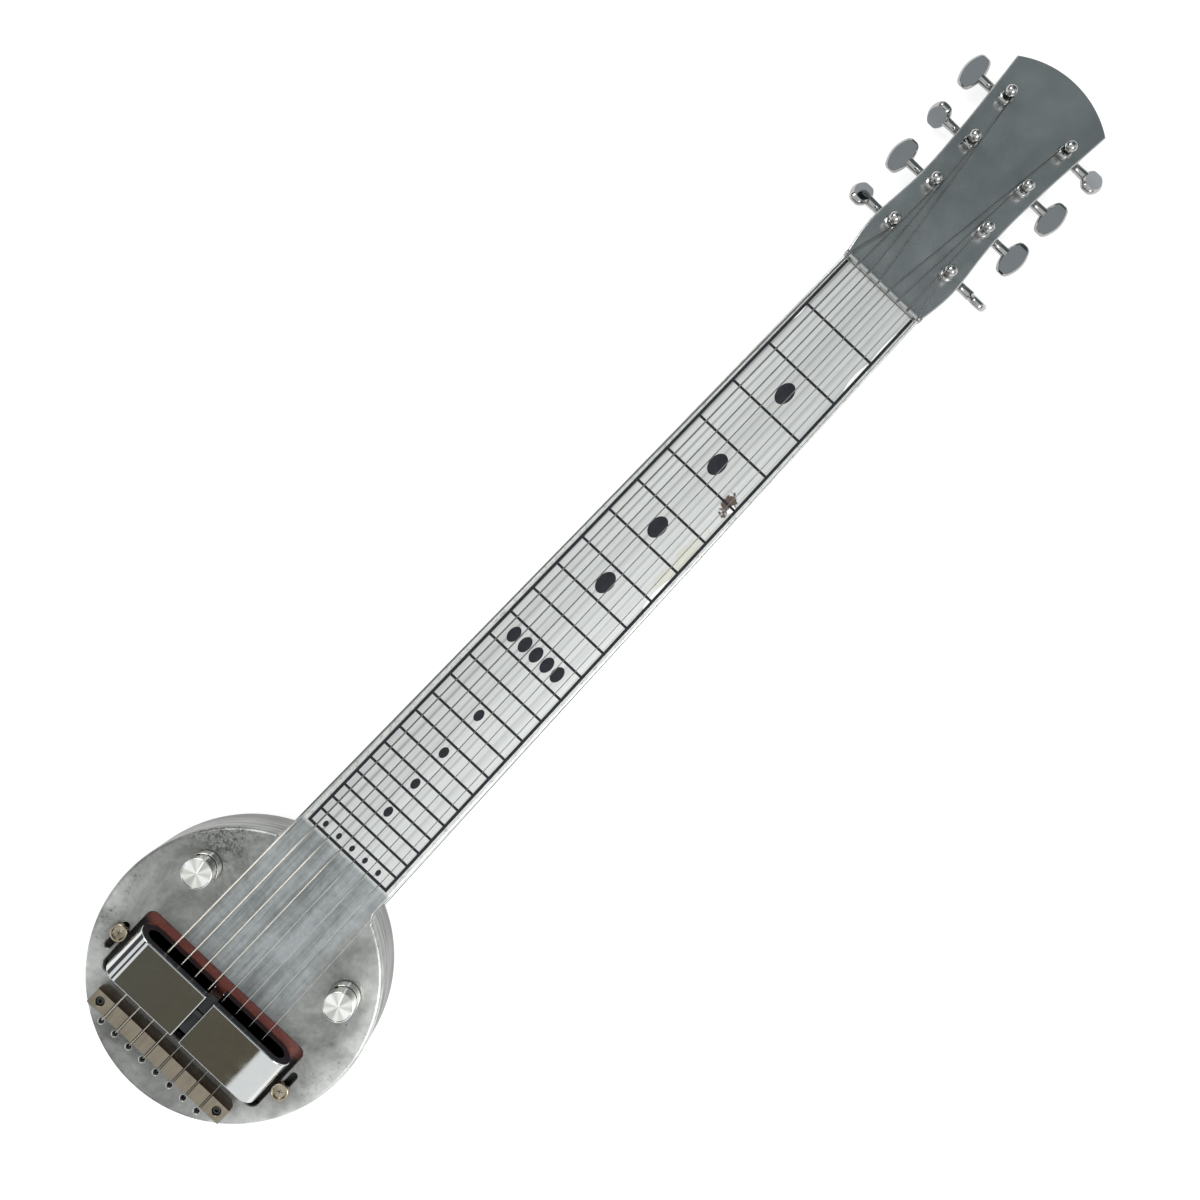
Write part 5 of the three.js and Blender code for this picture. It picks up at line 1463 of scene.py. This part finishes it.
class GUITAR_OT_studio(bpy.types.Operator):
    """Sets the camera, the floor and the light"""

    bl_idname = "guitar.studio"
    bl_label = "Studio"

    def execute(self, context):
        s = read(context, "guitar_studio")
        camera = bpy.data.cameras.new("camera")
        camera.lens = s.lens
        camera.sensor_width = 36
        camera.shift_x = s.shift_x
        camera.shift_y = s.shift_y
        camera.clip_start = 10 * MM
        holder = new_object("camera", camera)
        holder.location = (s.across * MM, s.along * MM, s.height * MM)
        holder.rotation_euler = (0, 0, s.turn)
        context.scene.camera = holder
        context.scene.view_settings.view_transform = "Standard"

        reach = 4000
        floor = new_object("floor", bpy.data.meshes.new("floor"))
        corners = np.array([(-1, -1, 0), (1, -1, 0), (1, 1, 0), (-1, 1, 0)]) * reach * MM
        floor.data.from_pydata(corners.tolist(), [], [(0, 1, 2, 3)])
        floor.data.materials.append(self.floor_material())
        self.world(context, s)
        self.lamp("lamp_left", (-900, 300, 1000), 700, s.lamp)
        self.lamp("lamp_right", (900, -200, 1000), 700, s.lamp)
        return {"FINISHED"}

    def floor_material(self):
        """White to the camera and in reflections, and an ordinary pale floor to all other light."""
        f = Finish("floor")
        rays = f.add("LightPath").outputs
        seen = f.math("MAXIMUM", rays["Is Camera Ray"], rays["Is Glossy Ray"])
        seen = f.math("MAXIMUM", seen, rays["Is Transmission Ray"])
        matte, shade = (f.add("BsdfDiffuse", inputs={"Color": (tone, tone, tone, 1)}).outputs[0]
                        for tone in (0.8, 0.35))
        glow = f.add("Emission", inputs={"Color": (1, 1, 1, 1), "Strength": 0.8}).outputs[0]
        white = f.add("AddShader", inputs={0: shade, 1: glow}).outputs[0]
        both = f.add("MixShader", inputs={0: seen, 1: matte, 2: white})
        f.add("OutputMaterial", inputs={"Surface": both.outputs[0]})
        return f.material

    def world(self, context, s):
        """A soft ceiling with darker panels over the ends of the guitar and beside its middle, and
        dark walls on all four sides. A panel's place is where its directions meet a ceiling one unit
        up."""
        world = bpy.data.worlds.new("studio")
        context.scene.world = world
        f = Finish("studio", world)
        way_x, way_y, z = f.axes()
        lowest = 0.05
        up = f.math("MAXIMUM", z, lowest)
        x, y = f.math("DIVIDE", way_x, up), f.math("DIVIDE", way_y, up)

        def panel(left, right, near, far, soft):
            return f.times(
                f.span(x, left - soft, left), f.span(x, right, right + soft, 1, 0),
                f.span(y, near - soft, near), f.span(y, far, far + soft, 1, 0),
                f.math("GREATER_THAN", z, lowest))

        warmer = (s.dark_panel[0], 0.9 * s.dark_panel[1], 0.82 * s.dark_panel[2], 1)
        dusk = f.mix(f.span(x, -0.08, 0.05), s.dark_panel, warmer)
        light = f.mix(f.span(z, 0.0, 0.4), (1, 1, 1, 1), s.ceiling)
        for share, tone in (
                (panel(-0.12, 0.0625, -0.72, -0.525, 0.0025), dusk),
                (panel(-0.7, 0.6, 0.3, 1.3, 0.05), s.slate_panel),
                (panel(-0.75, -0.46, -0.9, 0.2, 0.03), s.wall),
                (f.span(way_x, -0.77, -0.73, 1, 0), s.wall),
                (f.span(way_x, 0.88, 0.92, 0, 0.75), s.wall),
                (f.span(way_y, 0.74, 0.78), s.slate_panel),
                (f.span(way_y, -0.9, -0.86, 0.7, 0), s.wall)):
            light = f.mix(share, light, tone)
        seen = f.add("LightPath").outputs["Is Camera Ray"]
        back = f.add("Background", inputs={"Color": f.mix(seen, light, (1, 1, 1, 1))})
        f.add("OutputWorld", inputs={"Surface": back.outputs[0]})

    def lamp(self, name, place, size, power):
        light = bpy.data.lights.new(name, "AREA")
        light.shape = "SQUARE"
        light.size = size * MM
        light.energy = power
        holder = new_object(name, light)
        spot = np.array(place) * MM
        holder.location = spot
        away = math.hypot(spot[0], spot[1])
        facing = math.atan2(spot[1], spot[0]) + math.pi / 2
        holder.rotation_euler = (math.atan2(away, spot[2]), 0, facing)


class GUITAR_PT_panel(bpy.types.Panel):
    """Lists the steps that dress the guitar"""

    bl_idname = "GUITAR_PT_panel"
    bl_label = "Lap Steel Guitar"
    bl_space_type = "VIEW_3D"
    bl_region_type = "UI"
    bl_category = "Lap Steel"

    def draw(self, context):
        for step in STEPS:
            self.layout.operator(step.bl_idname)
        for key, group in GROUPS.items():
            box = self.layout.box()
            for name in group.__annotations__:
                box.prop(getattr(context.scene, key), name)


STEPS = (
    GUITAR_OT_casting, GUITAR_OT_plate, GUITAR_OT_strings, GUITAR_OT_tuners, GUITAR_OT_controls,
    GUITAR_OT_pickup, GUITAR_OT_studio,
)
CLASSES = tuple(GROUPS.values()) + STEPS + (GUITAR_PT_panel,)


def register():
    for item in CLASSES:
        bpy.utils.register_class(item)
    for key, group in GROUPS.items():
        setattr(bpy.types.Scene, key, bpy.props.PointerProperty(type=group))


def unregister():
    for key in GROUPS:
        delattr(bpy.types.Scene, key)
    for item in reversed(CLASSES):
        bpy.utils.unregister_class(item)


def main():
    register()
    for step in STEPS:
        group, name = step.bl_idname.split(".")
        getattr(getattr(bpy.ops, group), name)()


if __name__ == "__main__":
    main()
